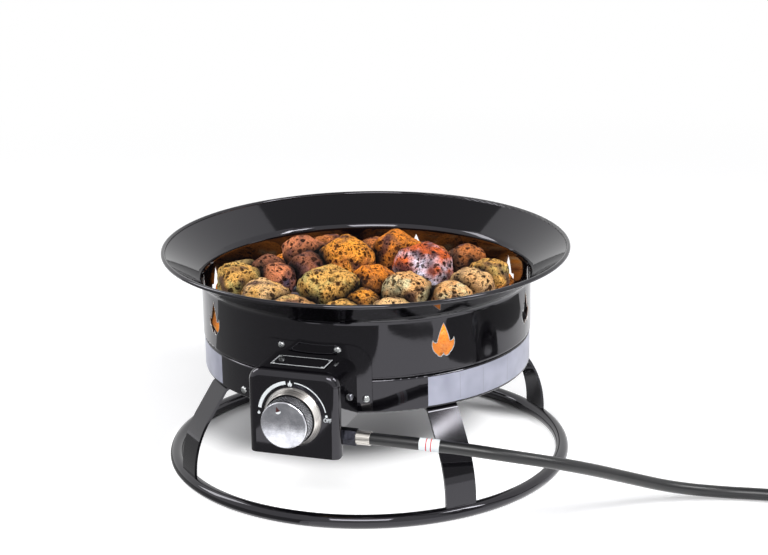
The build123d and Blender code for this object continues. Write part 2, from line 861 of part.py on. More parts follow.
spring_points, spring_headings = wound(spring_shape, [step / 4 for step in range(4 * spring_turns + 1)])
with BuildPart() as stem_spring:
    with BuildLine() as spring_path:
        biarc_wire(spring_points, spring_headings)
    with BuildSketch(Plane(spring_points[0], z_dir=spring_headings[0])):
        Circle(spring_wire)
    sweep(path=spring_path.line)
stem_spring.part.label = "stem_spring"
export_step(stem_spring.part, "parts/stem_spring.step")

# Jet screwed into the valve's outlet
jet_seat = valve_back - outlet_length
with BuildPart() as gas_jet:
    with BuildSketch(Plane.XZ.offset(jet_seat).shift_origin((0, -jet_seat, valve_height))):
        RegularPolygon(jet_flats / 2, 6, major_radius=False)
    extrude(amount=-jet_length)
    jet_nose = jet_seat - jet_length
    with BuildSketch(Plane.XZ.offset(jet_nose).shift_origin((0, -jet_nose, valve_height))):
        Circle(jet_nose_radius)
    extrude(amount=-jet_nose_length, taper=12)
gas_jet.part.label = "gas_jet"
export_step(gas_jet.part, "parts/gas_jet.step")

# Dial bezel: a spun cup clamped under the valve's panel nut
with BuildPart() as dial_bezel:
    with BuildSketch(valve_section):
        with BuildLine():
            FilletPolyline(
                (bush_radius + hole_clearance, -hood_reach),
                (bezel_radius, -hood_reach),
                (bezel_shoulder, -hood_reach - bezel_depth),
                (bezel_mouth, -hood_reach - bezel_depth),
                radius=[bezel_sheet, bezel_round],
            )
            offset(amount=bezel_sheet, side=Side.RIGHT)
        make_face()
    revolve(axis=valve_axis)
dial_bezel.part.label = "dial_bezel"
export_step(dial_bezel.part, "parts/dial_bezel.step")

nut_seat = hood_reach + bezel_sheet
with BuildPart() as panel_nut:
    with BuildSketch(Plane.XZ.offset(nut_seat).shift_origin((0, -nut_seat, valve_height))):
        RegularPolygon(panel_nut_flats / 2, 6, major_radius=False)
        Circle(bush_radius + press_gap, mode=Mode.SUBTRACT)
    extrude(amount=panel_nut_height)
panel_nut.part.label = "panel_nut"
export_step(panel_nut.part, "parts/panel_nut.step")

# Knob: a slightly tapered skirt, hollow behind, with a hub on the stem
cap_back = hood_reach + knob_front - cap_sheet + cap_proud
with BuildPart() as knob:
    with BuildSketch(valve_section):
        with BuildLine():
            Polyline(
                (0, -hood_reach - knob_front),
                (knob_front_radius, -hood_reach - knob_front),
                (knob_back_radius, -hood_reach - knob_back),
                (knob_back_radius - knob_wall, -hood_reach - knob_back),
                (knob_front_radius - knob_wall, -hood_reach - knob_front + knob_face_wall),
                (knob_hub_radius, -hood_reach - knob_front + knob_face_wall),
                (knob_hub_radius, -hood_reach - knob_hub_back),
                (0, -hood_reach - knob_hub_back),
                close=True,
            )
        make_face()
    revolve(axis=valve_axis)
    grip_edge = knob.edges().filter_by(GeomType.CIRCLE).sort_by(Axis.Y)[0]
    fillet(grip_edge, knob_front_round)
    with BuildSketch(Plane.XZ.offset(stem_front).shift_origin((0, -stem_front, valve_height))):
        Circle(stem_radius + press_gap)
    extrude(amount=-stem_front + hood_reach, mode=Mode.SUBTRACT)
    with BuildSketch(Plane.XZ.offset(cap_back).shift_origin((0, -cap_back, valve_height))):
        Circle(cap_radius + press_gap)
    extrude(amount=cap_sheet, mode=Mode.SUBTRACT)
knob.part.label = "knob"
export_step(knob.part, "parts/knob.step")

with BuildPart() as knob_cap:
    with BuildSketch(Plane.XZ.offset(cap_back).shift_origin((0, -cap_back, valve_height))):
        Circle(cap_radius)
    extrude(amount=cap_sheet)
    fillet(knob_cap.edges().sort_by(Axis.Y)[0], cap_proud)
knob_cap.part.label = "knob_cap"
export_step(knob_cap.part, "parts/knob_cap.step")

# Mixer tube with air windows, from the bracket to the elbow under the burner
mixer_start = valve_back - bracket_sheet - seat_gap
mixer_end = elbow_bend + press_gap
with BuildPart() as mixer_tube:
    with BuildSketch(Plane.XZ.offset(mixer_start).shift_origin((0, -mixer_start, valve_height))):
        Circle(mixer_radius)
        Circle(mixer_radius - mixer_wall, mode=Mode.SUBTRACT)
    extrude(amount=mixer_end - mixer_start)
    with BuildSketch(Plane((0, -air_window_distance, valve_height), x_dir=(0, 1, 0), z_dir=(1, 0, 0))):
        SlotOverall(air_window_length, air_window_width)
    extrude(amount=2 * mixer_radius, both=True, mode=Mode.SUBTRACT)
mixer_tube.part.label = "mixer_tube"
export_step(mixer_tube.part, "parts/mixer_tube.step")

elbow_bore = mixer_radius + press_gap
with BuildPart() as burner_elbow:
    with BuildLine() as elbow_path:
        elbow_in = Line((0, -elbow_bend - elbow_socket, valve_height), (0, -elbow_bend, valve_height))
        elbow_turn = TangentArc(elbow_in @ 1, (0, 0, valve_height + elbow_bend), tangent=(0, 1, 0))
        Line(elbow_turn @ 1, (0, 0, elbow_top))
    with BuildSketch(Plane(elbow_in @ 0, z_dir=(0, 1, 0))):
        Circle(elbow_bore + elbow_wall)
        Circle(elbow_bore, mode=Mode.SUBTRACT)
    sweep(path=elbow_path.line)
burner_elbow.part.label = "burner_elbow"
export_step(burner_elbow.part, "parts/burner_elbow.step")

# Burner: ring with gas ports, hub through the floor, two feed arms
with BuildPart() as burner_ring:
    with BuildSketch(Plane.XZ):
        with Locations((burner_ring_radius, burner_height)):
            Circle(burner_tube)
    revolve(axis=Axis.Z)
    with BuildSketch(Plane.XY.offset(burner_height + burner_tube)):
        with PolarLocations(burner_ring_radius, port_count):
            Circle(burner_port_radius)
    extrude(amount=-burner_port_depth, mode=Mode.SUBTRACT)
burner_ring.part.label = "burner_ring"
export_step(burner_ring.part, "parts/burner_ring.step")

hub_bottom = burner_height - hub_half_height
with BuildPart() as burner_hub:
    with BuildSketch(Plane.XY.offset(hub_bottom)):
        Circle(hub_radius)
    extrude(amount=2 * hub_half_height)
    fillet(burner_hub.edges().sort_by(Axis.Z)[-1], hub_half_height / 6)
    with BuildSketch(Plane.XY.offset(neck_bottom)):
        Circle(neck_radius)
    extrude(amount=hub_bottom - neck_bottom)
    with BuildSketch(Plane.XY.offset(neck_bottom)):
        Circle(neck_radius - mixer_wall)
    extrude(amount=burner_height - neck_bottom, mode=Mode.SUBTRACT)
burner_hub.part.label = "burner_hub"
export_step(burner_hub.part, "parts/burner_hub.step")

with BuildPart() as burner_arms:
    with BuildSketch(Plane.YZ.offset(-burner_ring_radius)):
        with Locations((0, burner_height)):
            Circle(burner_tube)
    extrude(amount=2 * burner_ring_radius)
    with BuildSketch(Plane.XZ):
        with Locations((burner_ring_radius, burner_height)):
            Circle(burner_tube + press_gap)
    revolve(axis=Axis.Z, mode=Mode.SUBTRACT)
    with BuildSketch(Plane.XY.offset(burner_height)):
        Circle(burner_ring_radius + 2 * burner_tube)
        Circle(burner_ring_radius, mode=Mode.SUBTRACT)
        Circle(hub_radius + press_gap)
    extrude(amount=2 * burner_tube, both=True, mode=Mode.SUBTRACT)
burner_arms.part.label = "burner_arms"
export_step(burner_arms.part, "parts/burner_arms.step")

with BuildPart() as burner_spacer:
    with BuildSketch(Plane.XY.offset(bowl_floor)):
        Circle(neck_radius + hole_clearance + spacer_wall)
        Circle(neck_radius + hole_clearance, mode=Mode.SUBTRACT)
    extrude(amount=hub_bottom - bowl_floor)
burner_spacer.part.label = "burner_spacer"
export_step(burner_spacer.part, "parts/burner_spacer.step")

with BuildPart() as burner_locknut:
    with BuildSketch(Plane.XY.offset(bowl_bottom)):
        RegularPolygon(locknut_flats / 2, 6, major_radius=False)
        Circle(neck_radius + press_gap, mode=Mode.SUBTRACT)
    extrude(amount=-locknut_height)
burner_locknut.part.label = "burner_locknut"
export_step(burner_locknut.part, "parts/burner_locknut.step")

# Gas inlet: elbow below the valve, swivel nut and the hose's crimped ferrule
inlet_end = nut_start + nut_length / 2
with BuildPart() as inlet_elbow:
    with BuildLine() as inlet_path:
        FilletPolyline(
            (0, hose_axis_y, boss_bottom),
            (0, hose_axis_y, hose_axis_z),
            (inlet_end, hose_axis_y, hose_axis_z),
            radius=inlet_bend,
        )
    with BuildSketch(Plane((0, hose_axis_y, boss_bottom), z_dir=(0, 0, -1))):
        Circle(inlet_tube_radius)
    sweep(path=inlet_path.line)
inlet_elbow.part.label = "inlet_elbow"
export_step(inlet_elbow.part, "parts/inlet_elbow.step")

hose_axis_plane = Plane((nut_start, hose_axis_y, hose_axis_z), x_dir=(0, 1, 0), z_dir=(1, 0, 0))
with BuildPart() as inlet_nut:
    with BuildSketch(hose_axis_plane):
        RegularPolygon(nut_flats / 2, 6, major_radius=False)
        Circle(inlet_tube_radius + nut_gap, mode=Mode.SUBTRACT)
    extrude(amount=nut_length)
inlet_nut.part.label = "inlet_nut"
export_step(inlet_nut.part, "parts/inlet_nut.step")

with BuildPart() as hose_ferrule:
    with BuildSketch(hose_axis_plane.offset(nut_length / 2 + nut_gap)):
        Circle(inlet_tube_radius)
    extrude(amount=nut_length / 2 - nut_gap)
    with BuildSketch(hose_axis_plane.offset(nut_length)):
        Circle(ferrule_radius)
    extrude(amount=ferrule_length)
    fillet(hose_ferrule.edges().sort_by(Axis.X)[-1], (ferrule_radius - hose_radius) / 2)
hose_ferrule.part.label = "hose_ferrule"
export_step(hose_ferrule.part, "parts/hose_ferrule.step")

# Hose from the ferrule over the stand's ring and down to the floor
run_start = Vector(ferrule_end, hose_axis_y, hose_axis_z)
run_drop = hose_floor - hose_axis_z
route = [run_start + Vector(run_reach * x, run_side * y, run_drop * z) for x, y, z in hose_route]
route_radii = []
for before, corner_point, after in zip(route, route[1:], route[2:]):
    turn = math.radians((corner_point - before).get_angle(after - corner_point))
    shorter = min((corner_point - before).length, (after - corner_point).length)
    route_radii.append(run_fillet_share * shorter / math.tan(turn / 2))
print("hose radii", [round(radius) for radius in route_radii])
with BuildPart() as hose_run:
    with BuildLine() as run_path:
        FilletPolyline(*route, radius=route_radii)
    with BuildSketch(Plane(route[0], z_dir=route[1] - route[0])):
        Circle(hose_radius)
    sweep(path=run_path.line)
run_length = run_path.wire().length
hose_area = math.pi * hose_radius**2
run_ratio = hose_run.part.volume / (hose_area * run_length)
print("hose run", round(run_length), "volume ratio", round(run_ratio, 4))
hose_run.part.label = "hose_run"
export_step(hose_run.part, "parts/hose_run.step")

# Coil: in along the lower layer, up in the half turn where it reverses, out along the upper
coil_pitch = 2 * hose_radius + coil_gap
entry = route[-1]
coil_x = entry.X + coil_entry
coil_y = entry.Y + coil_outer


def coil_shape(turn):
    middle = coil_turns / 2
    radius = coil_outer - coil_pitch * (middle - abs(turn - middle))
    climb = min(max((turn - middle + 0.25) / 0.5, 0), 1)
    height = entry.Z + coil_pitch * climb * climb * (3 - 2 * climb)
    angle = 2 * math.pi * turn - math.pi / 2
    return (coil_x + radius * math.cos(angle), coil_y + radius * math.sin(angle), height)


coil_marks = [step / coil_steps for step in range(int(coil_steps * coil_turns) + 1)]
coil_points, coil_headings = wound(coil_shape, coil_marks)
coil_headings[0] = Vector(1, 0, 0)
coil_headings[-1] = Vector(1, 0, 0)
tail_end = coil_points[-1] + Vector(tail_length, 0, 0)
with BuildPart() as hose_coil:
    with BuildLine() as coil_path:
        Line(entry, coil_points[0])
        biarc_wire(coil_points, coil_headings)
        Line(coil_points[-1], tail_end)
    with BuildSketch(Plane(entry, z_dir=(1, 0, 0))):
        Circle(hose_radius)
    sweep(path=coil_path.line)
coil_length = coil_path.wire().length
coil_ratio = hose_coil.part.volume / (hose_area * coil_length)
print("hose coil", round(coil_length), "volume ratio", round(coil_ratio, 4))
samples = [Vector(*coil_shape(step / 48)) for step in range(int(48 * coil_turns) + 1)]
least_gap = min(
    (samples[j] - samples[i]).length for i in range(len(samples)) for j in range(i + 24, len(samples))
)
print("least coil gap", round(least_gap - 2 * hose_radius, 2))
print("hose in all", round(run_length + coil_length))
hose_coil.part.label = "hose_coil"
export_step(hose_coil.part, "parts/hose_coil.step")

# Tie strapped round the coil's far side
tie_inner = coil_outer - coil_pitch * coil_turns / 2 - hose_radius - 3 * tie_gap
tie_outer = coil_outer - coil_pitch / 2 + hose_radius + tie_gap
tie_low = entry.Z - hose_radius - tie_gap / 2
tie_high = entry.Z + coil_pitch + hose_radius + tie_gap
with BuildPart() as coil_tie:
    with BuildSketch(Plane.YZ.offset(coil_x)):
        with Locations((coil_y + (tie_inner + tie_outer) / 2, (tie_low + tie_high) / 2)):
            RectangleRounded(
                tie_outer - tie_inner + 2 * tie_sheet,
                tie_high - tie_low + 2 * tie_sheet,
                tie_corner + tie_sheet,
            )
            RectangleRounded(tie_outer - tie_inner, tie_high - tie_low, tie_corner, mode=Mode.SUBTRACT)
    extrude(amount=tie_width / 2, both=True)
coil_tie.part.label = "coil_tie"
export_step(coil_tie.part, "parts/coil_tie.step")

# Regulator on the hose's far end
regulator_axis = Plane(tail_end, x_dir=(0, 1, 0), z_dir=(1, 0, 0))
disc_centre = tail_end + Vector(ferrule_length + regulator_neck_end, 0, 0)
with BuildPart() as regulator_ferrule:
    with BuildSketch(regulator_axis):
        Circle(ferrule_radius)
    extrude(amount=ferrule_length)
regulator_ferrule.part.label = "regulator_ferrule"
export_step(regulator_ferrule.part, "parts/regulator_ferrule.step")

with BuildPart() as regulator_body:
    with BuildSketch(Plane(disc_centre - Vector(0, 0, regulator_below))):
        Circle(regulator_radius)
    extrude(amount=regulator_below + regulator_seam)
    fillet(regulator_body.edges().sort_by(Axis.Z)[0], regulator_below / 3)
    with BuildSketch(regulator_axis.offset(ferrule_length)):
        Circle(regulator_neck_radius)
    extrude(amount=2 * regulator_neck_end)
    with BuildSketch(Plane(disc_centre + Vector(0, 0, regulator_seam))):
        Circle(regulator_radius)
    extrude(amount=regulator_cover_height, mode=Mode.SUBTRACT)
regulator_body.part.label = "regulator_body"
export_step(regulator_body.part, "parts/regulator_body.step")

with BuildPart() as regulator_cover:
    with BuildSketch(Plane(disc_centre + Vector(0, 0, regulator_seam))):
        Circle(regulator_radius)
    extrude(amount=regulator_cover_height)
    fillet(regulator_cover.edges().sort_by(Axis.Z)[-1], regulator_cover_height / 2)
    with BuildSketch(Plane(disc_centre + Vector(0, 0, regulator_seam + regulator_cover_height))):
        Circle(bonnet_radius)
    extrude(amount=bonnet_height)
    fillet(regulator_cover.edges().sort_by(Axis.Z)[-1], bonnet_round)
    vent_seat = disc_centre + Vector(0, vent_tube_offset, regulator_seam + regulator_cover_height / 2)
    with BuildSketch(Plane(vent_seat)):
        Circle(vent_tube_radius)
    extrude(amount=regulator_cover_height / 2 + vent_tube_height)
    with BuildSketch(Plane(vent_seat)):
        Circle(vent_tube_bore)
    extrude(amount=regulator_cover_height / 2 + vent_tube_height, mode=Mode.SUBTRACT)
regulator_cover.part.label = "regulator_cover"
export_step(regulator_cover.part, "parts/regulator_cover.step")

# Nipple and the handwheel that spins on it
wheel_start = ferrule_length + 2 * regulator_neck_end + wheel_side_gap
collar_start = wheel_start + wheel_web + wheel_side_gap
wheel_radius = tail_end.Z
with BuildPart() as regulator_nipple:
    with BuildSketch(regulator_axis.offset(ferrule_length + 2 * regulator_neck_end)):
        Circle(nipple_radius)
    extrude(amount=collar_start - ferrule_length - 2 * regulator_neck_end)
    with BuildSketch(regulator_axis.offset(collar_start)):
        Circle(nipple_collar_radius)
    extrude(amount=nipple_collar_length)
    with BuildSketch(regulator_axis.offset(collar_start + nipple_collar_length)):
        Circle(nipple_radius)
    extrude(amount=nipple_nose_length)
    fillet(regulator_nipple.edges().sort_by(Axis.X)[-1], nipple_radius / 2)
regulator_nipple.part.label = "regulator_nipple"
export_step(regulator_nipple.part, "parts/regulator_nipple.step")

with BuildPart() as handwheel:
    with BuildSketch(regulator_axis.offset(wheel_start)):
        Circle(wheel_radius)
        with PolarLocations(wheel_radius + wheel_scallop_radius - wheel_scallop_depth, wheel_scallops):
            Circle(wheel_scallop_radius, mode=Mode.SUBTRACT)
    extrude(amount=wheel_length)
    with BuildSketch(regulator_axis.offset(wheel_start)):
        Circle(nipple_radius + run_gap)
    extrude(amount=wheel_length, mode=Mode.SUBTRACT)
    with BuildSketch(regulator_axis.offset(wheel_start + wheel_web)):
        Circle(wheel_bore)
    extrude(amount=wheel_length, mode=Mode.SUBTRACT)
handwheel.part.label = "handwheel"
export_step(handwheel.part, "parts/handwheel.step")


# Lava rock: faceted stones, each trimmed flat where it meets its neighbours
def rock(centre, half, turn):
    sizes = [bowl_radius / 100 * size for size in half]
    return {"centre": Vector(*centre), "half": sizes, "turn": math.radians(turn)}


def reach_of(stone, heading):
    # How far a stone's rounded form reaches along a heading
    c, s = math.cos(stone["turn"]), math.sin(stone["turn"])
    own = (c * heading.X + s * heading.Y, c * heading.Y - s * heading.X, heading.Z)
    return math.sqrt(sum((size * part) ** 2 for size, part in zip(stone["half"], own)))


def rock_solid(index, facets, limits):
    # One stone: a box cut by facets, by its neighbours' planes and by set limits
    stone = rocks[index]
    chance = random.Random(index)
    cuts = list(limits)
    for other in rocks:
        apart = other["centre"] - stone["centre"]
        if 0 < apart.length:
            heading = apart.normalized()
            mine, theirs = reach_of(stone, heading), reach_of(other, heading)
            shared = mine + theirs - apart.length
            if shared > -(mine + theirs) / 2:
                cuts.append((heading, mine - shared * mine / (mine + theirs) - rock_gap / 2))
    for step in range(facets):
        height = 1 - (2 * step + 1) / facets
        around = step * math.pi * (3 - math.sqrt(5)) + chance.uniform(0, 0.7)
        level = math.sqrt(1 - height * height)
        heading = Vector(level * math.cos(around), level * math.sin(around), height)
        cuts.append((heading, reach_of(stone, heading) * chance.uniform(0.86, 1.0)))
    with BuildPart() as solid:
        with Locations(Location(stone["centre"], (0, 0, math.degrees(stone["turn"])))):
            Box(*[2 * size for size in stone["half"]])
        for heading, distance in cuts:
            split(bisect_by=Plane(stone["centre"] + heading * distance, z_dir=heading), keep=Keep.BOTTOM)
    return solid.part


rock_unit = bowl_radius / 100
lower_height = bowl_floor + rock_unit * lower_rock_share - rock_gap
rocks = []
for step in range(lower_ring_count):
    around = 2 * math.pi * (step + 0.5) / lower_ring_count
    out = rock_unit * lower_ring_share
    place = (out * math.cos(around), out * math.sin(around), lower_height)
    rocks.append(rock(place, lower_ring_half, math.degrees(around)))
for angle in inner_rock_angles:
    around = math.radians(angle)
    out = rock_unit * inner_rock_share
    place = (out * math.cos(around), out * math.sin(around), lower_height)
    rocks.append(rock(place, inner_rock_half, angle))
lower_count = len(rocks)
for x, y, z, *half in upper_rocks:
    rocks.append(rock((rock_unit * x, rock_unit * y, bowl_floor + rock_unit * z), half, 0))

lower_solids = []
for index in range(lower_count):
    centre = rocks[index]["centre"]
    flat = Vector(centre.X, centre.Y, 0)
    limits = [(Vector(0, 0, -1), centre.Z - bowl_floor - rock_gap / 2)]
    if index < lower_ring_count:
        limits.append((-flat.normalized(), flat.length - burner_ring_radius - burner_tube - rock_gap))
    else:
        inside = burner_ring_radius - burner_tube - rock_gap
        widest = max(rocks[index]["half"])
        limits.append((flat.normalized(), math.sqrt(inside**2 - widest**2) - flat.length))
        aside = Vector(0, math.copysign(1, centre.Y), 0)
        limits.append((-aside, abs(centre.Y) - burner_tube - rock_gap))
    lower_solids.append(rock_solid(index, lower_rock_facets, limits))
with BuildPart() as lower_rocks:
    add(lower_solids)
lower_rocks.part.label = "lava_rocks_lower"
export_step(lower_rocks.part, "parts/lava_rocks_lower.step")

upper_solids = [rock_solid(index, rock_facets, []) for index in range(lower_count, len(rocks))]
with BuildPart() as top_rocks:
    add(upper_solids)
top_rocks.part.label = "lava_rocks_upper"
export_step(top_rocks.part, "parts/lava_rocks_upper.step")
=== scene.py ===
import math

import bmesh
import bpy
from mathutils import Matrix, Vector, kdtree, noise


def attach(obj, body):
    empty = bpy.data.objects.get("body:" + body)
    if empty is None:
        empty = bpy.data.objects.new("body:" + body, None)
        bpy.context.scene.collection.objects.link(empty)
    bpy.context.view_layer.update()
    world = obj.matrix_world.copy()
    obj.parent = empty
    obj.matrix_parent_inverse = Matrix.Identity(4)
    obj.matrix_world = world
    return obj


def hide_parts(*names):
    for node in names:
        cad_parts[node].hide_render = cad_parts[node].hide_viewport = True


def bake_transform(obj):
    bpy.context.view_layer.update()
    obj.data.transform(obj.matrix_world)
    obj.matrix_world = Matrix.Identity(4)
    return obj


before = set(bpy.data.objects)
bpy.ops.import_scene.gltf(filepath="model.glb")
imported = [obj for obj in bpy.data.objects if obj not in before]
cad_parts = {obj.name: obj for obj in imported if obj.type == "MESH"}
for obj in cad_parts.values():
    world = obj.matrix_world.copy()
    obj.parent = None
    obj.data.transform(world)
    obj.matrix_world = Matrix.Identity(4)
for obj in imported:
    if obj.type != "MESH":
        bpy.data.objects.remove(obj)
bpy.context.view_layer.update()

mm = 0.001
joinDistance = 1e-6  # points closer than this, in metres, are one point
dialHeight = 135.0  # the valve stem's axis over the floor
scene = bpy.context.scene
print("frame loaded:", len(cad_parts), "nodes")


def srgb(hexText):
    # sRGB hex to a linear colour
    parts = [int(hexText[place:place + 2], 16) / 255 for place in (1, 3, 5)]
    return tuple(c / 12.92 if c <= 0.04045 else ((c + 0.055) / 1.055) ** 2.4 for c in parts) + (1.0,)


def clamp(value):
    return min(1, max(0, value))


def addNode(tree, kind, settings=None):
    # a setting goes to the node's own property or to one of its sockets, and another node's socket is linked
    node = tree.nodes.new("ShaderNode" + kind)
    for key, value in (settings or {}).items():
        if key == "stops":
            for place, (at, colour) in enumerate(value):
                stop = node.color_ramp.elements[place] if place < 2 else node.color_ramp.elements.new(at)
                stop.position = at
                stop.color = colour
        elif isinstance(value, bpy.types.NodeSocket):
            tree.links.new(value, node.inputs[key])
        elif isinstance(key, str) and hasattr(node, key):
            setattr(node, key, value)
        else:
            node.inputs[key].default_value = value
    return node


def cellsOf(size):
    # a pattern's cells per metre from the size of one in millimetres
    return 1 / (size * mm)


def rampStops(*tones, at=(0.3, 0.7)):
    # sRGB tones with their places on a ramp
    return [(place, srgb(tone)) for place, tone in zip(at, tones)]


def span(low, high):
    # the stretch of a value that a range begins with
    return {"From Min": low, "From Max": high}


def newFinish(name, constants):
    # a material whose even values sit on the shader's own sockets
    finish = bpy.data.materials.new(name)
    finish.use_nodes = True
    shader = finish.node_tree.nodes["Principled BSDF"]
    for key, value in constants.items():
        shader.inputs[key].default_value = value
    return finish, finish.node_tree, shader


def feed(tree, shader, links):
    for key, socket in links.items():
        tree.links.new(socket, shader.inputs[key])


def cloudedFinish(name, constants, cloud, tones=(), at=(0.3, 0.7), gloss=(), grain=(), relief=()):
    # tone and gloss follow one cloud, and relief a finer grain or the same cloud: each a size and a detail
    finish, tree, shader = newFinish(name, constants)
    spot = addNode(tree, "TexCoord").outputs["Object"]
    size, detail = cloud
    cover = addNode(tree, "TexNoise", {"Scale": cellsOf(size), "Detail": detail, "Vector": spot})
    height = cover
    if grain:
        size, detail = grain
        height = addNode(tree, "TexNoise", {"Scale": cellsOf(size), "Detail": detail, "Vector": spot})
    if tones:
        tone = addNode(tree, "ValToRGB", {"stops": rampStops(*tones, at=at), "Fac": cover.outputs["Fac"]})
        feed(tree, shader, {"Base Color": tone.outputs["Color"]})
    if gloss:
        sheen = addNode(tree, "MapRange", {"To Min": gloss[0], "To Max": gloss[1],
                                           "Value": cover.outputs["Fac"]})
        feed(tree, shader, {"Roughness": sheen.outputs["Result"]})
    if relief:
        bump = addNode(tree, "Bump", {"Strength": relief[0], "Distance": relief[1],
                                      "Height": height.outputs["Fac"]})
        feed(tree, shader, {"Normal": bump.outputs["Normal"]})
    return finish


def objectFrom(name, bm):
    mesh = bpy.data.meshes.new(name)
    bm.to_mesh(mesh)
    bm.free()
    made = bpy.data.objects.new(name, mesh)
    scene.collection.objects.link(made)
    return made


def newPiece(name, bm, finishes, body, sharpAngle=35):
    piece = objectFrom(name, bm)
    for finish in finishes:
        piece.data.materials.append(finish)
    piece.data.shade_smooth()
    piece.data.set_sharp_from_angle(angle=math.radians(sharpAngle))
    if body:
        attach(piece, body)
    return piece


def evaluated(piece):
    # the mesh that an object's modifiers or curve settings give
    graph = bpy.context.evaluated_depsgraph_get()
    return bpy.data.meshes.new_from_object(piece.evaluated_get(graph))


def absorb(bm, helper):
    # a passing object's final mesh goes into bm, and the object goes
    bm.from_mesh(evaluated(helper))
    bpy.data.objects.remove(helper)


def lathe(bm, outline, centre, axis, steps):
    # an outline turned once round an axis
    ring = [bm.verts.new(point) for point in outline]
    for low, high in zip(ring, ring[1:]):
        bm.edges.new((low, high))
    bmesh.ops.spin(bm, geom=bm.verts[:] + bm.edges[:], cent=centre, axis=axis, angle=2 * math.pi, steps=steps,
                   use_merge=True)
    bmesh.ops.remove_doubles(bm, verts=bm.verts, dist=joinDistance)
    bmesh.ops.recalc_face_normals(bm, faces=bm.faces)


def newVerts(grown):
    # the points that an extrusion made
    return [part for part in grown["geom"] if isinstance(part, bmesh.types.BMVert)]


def dress(finish, *nodes):
    # a new finish for nodes whose shape is right
    for node in nodes:
        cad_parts[node].data.materials.clear()
        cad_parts[node].data.materials.append(finish)


# Camera: the photograph's standpoint, long lens
view = dict(place=(0.7704, -2.1877, 0.9368), ahead=(-0.3091, 0.9038, -0.2958), up=(-0.0798, 0.2853, 0.9551),
            lens=95.79, sensor=36, reach=60)
ahead = Vector(view["ahead"]).normalized()
right = ahead.cross(Vector(view["up"])).normalized()
turn = Matrix((right, right.cross(ahead), -ahead)).transposed()
cameraData = bpy.data.cameras.new("camera")
cameraData.sensor_width = view["sensor"]
cameraData.lens = view["lens"]
cameraData.clip_end = view["reach"]
camera = bpy.data.objects.new("camera", cameraData)
camera.matrix_world = Matrix.Translation(view["place"]) @ turn.to_4x4()
scene.collection.objects.link(camera)
scene.camera = camera
scene.view_settings.view_transform = "Standard"
print("camera placed")


# Finishes, each from what the real surface is

# Black gloss enamel fired on steel: deep black, a wet reflection with a faint 6 mm ripple, less on the straps
enamels = {}
for enamelName, ripple in (("glossBlackEnamel", 0.35), ("strapBlackEnamel", 0.05)):
    enamels[enamelName] = cloudedFinish(
        enamelName, {"Base Color": srgb("#09080b"), "IOR": 1.55, "Specular Tint": (0.93, 0.91, 1, 1)},
        cloud=(45.45, 3), gloss=(0.03, 0.08), grain=(5.882, 2), relief=(ripple, 0.00003))

# Zinc-plated steel: cool pale grey with cloudy passivation
zinc = cloudedFinish("zincPlatedSteel", {"Metallic": 1.0}, cloud=(2.38, 4), tones=("#8f9192", "#d4d6d6"),
                     gloss=(0.18, 0.42))

# Stainless steel turned on a lathe: satin, fine rings round the dial's axis drawn at 0.5 mm so that they
# show, and painted shade on the lip round the knob, where the narrow gap to the knob lies
turned, tree, shader = newFinish("turnedStainlessSteel", {"Metallic": 1.0})
spot = addNode(tree, "TexCoord").outputs["Object"]
centred = addNode(tree, "Mapping", {"Location": (0, 0, -dialHeight * mm), "Scale": (1, 0, 1), "Vector": spot})
radius = addNode(tree, "VectorMath", {"operation": "LENGTH", 0: centred.outputs["Vector"]}).outputs["Value"]
ringNoise = {"noise_dimensions": "1D", "Scale": cellsOf(0.5), "Detail": 2, "W": radius}
rings = addNode(tree, "TexNoise", ringNoise).outputs["Fac"]
cloud = addNode(tree, "TexNoise", {"Scale": cellsOf(16.7), "Detail": 3, "Vector": spot}).outputs["Fac"]
steel = addNode(tree, "ValToRGB", {"stops": rampStops("#c9c2bc", "#efebe7", at=(0.25, 0.75)), "Fac": cloud})
# painted shade: inside the lip's radius the steel turns near black
pastLipShade = addNode(tree, "MapRange", {**span(0.0288, 0.0293), "Value": radius})
tone = addNode(tree, "Mix", {"data_type": "RGBA", 0: pastLipShade.outputs["Result"], 6: srgb("#17171a"),
                             7: steel.outputs["Color"]})
gloss = addNode(tree, "MapRange", {"To Min": 0.2, "To Max": 0.36, "Value": rings})
groove = addNode(tree, "Bump", {"Strength": 0.3, "Distance": 0.00003, "Height": rings})
feed(tree, shader, {"Base Color": tone.outputs[2], "Roughness": gloss.outputs["Result"],
                    "Normal": groove.outputs["Normal"]})

# Crimped steel sleeve stock: satin, drawn lines along X
drawn, tree, shader = newFinish("drawnSteel", {"Metallic": 1.0})
spot = addNode(tree, "TexCoord").outputs["Object"]
along = addNode(tree, "Mapping", {"Scale": [cellsOf(size) for size in (25, 1.11, 1.11)], "Vector": spot})
lines = addNode(tree, "TexNoise", {"Scale": 1, "Detail": 3, "Vector": along.outputs["Vector"]}).outputs["Fac"]
tone = addNode(tree, "ValToRGB", {"stops": rampStops("#9a9690", "#d6d2cc"), "Fac": lines})
gloss = addNode(tree, "MapRange", {"To Min": 0.2, "To Max": 0.4, "Value": lines})
feed(tree, shader, {"Base Color": tone.outputs["Color"], "Roughness": gloss.outputs["Result"]})

# Smoked chrome plating: a dark, slightly clouded mirror
smoked = cloudedFinish("smokedChrome", {"Metallic": 1.0}, cloud=(3.33, 3), tones=("#4c4c53", "#95959d"),
                       gloss=(0.06, 0.18))

# Smoked chrome on the knurl: painted highlights on the points, painted shade in the grooves
knurled, tree, shader = newFinish("knurledSmokedChrome", {"Metallic": 1.0})
pointLight = addNode(tree, "Attribute", {"attribute_name": "knurlPaintedLight"}).outputs["Fac"]
tone = addNode(tree, "ValToRGB", {"stops": rampStops("#1d1d22", "#dcdce2", at=(0.06, 0.5)), "Fac": pointLight})
gloss = addNode(tree, "MapRange", {"To Min": 0.34, "To Max": 0.14, "Value": pointLight})
feed(tree, shader, {"Base Color": tone.outputs["Color"], "Roughness": gloss.outputs["Result"]})

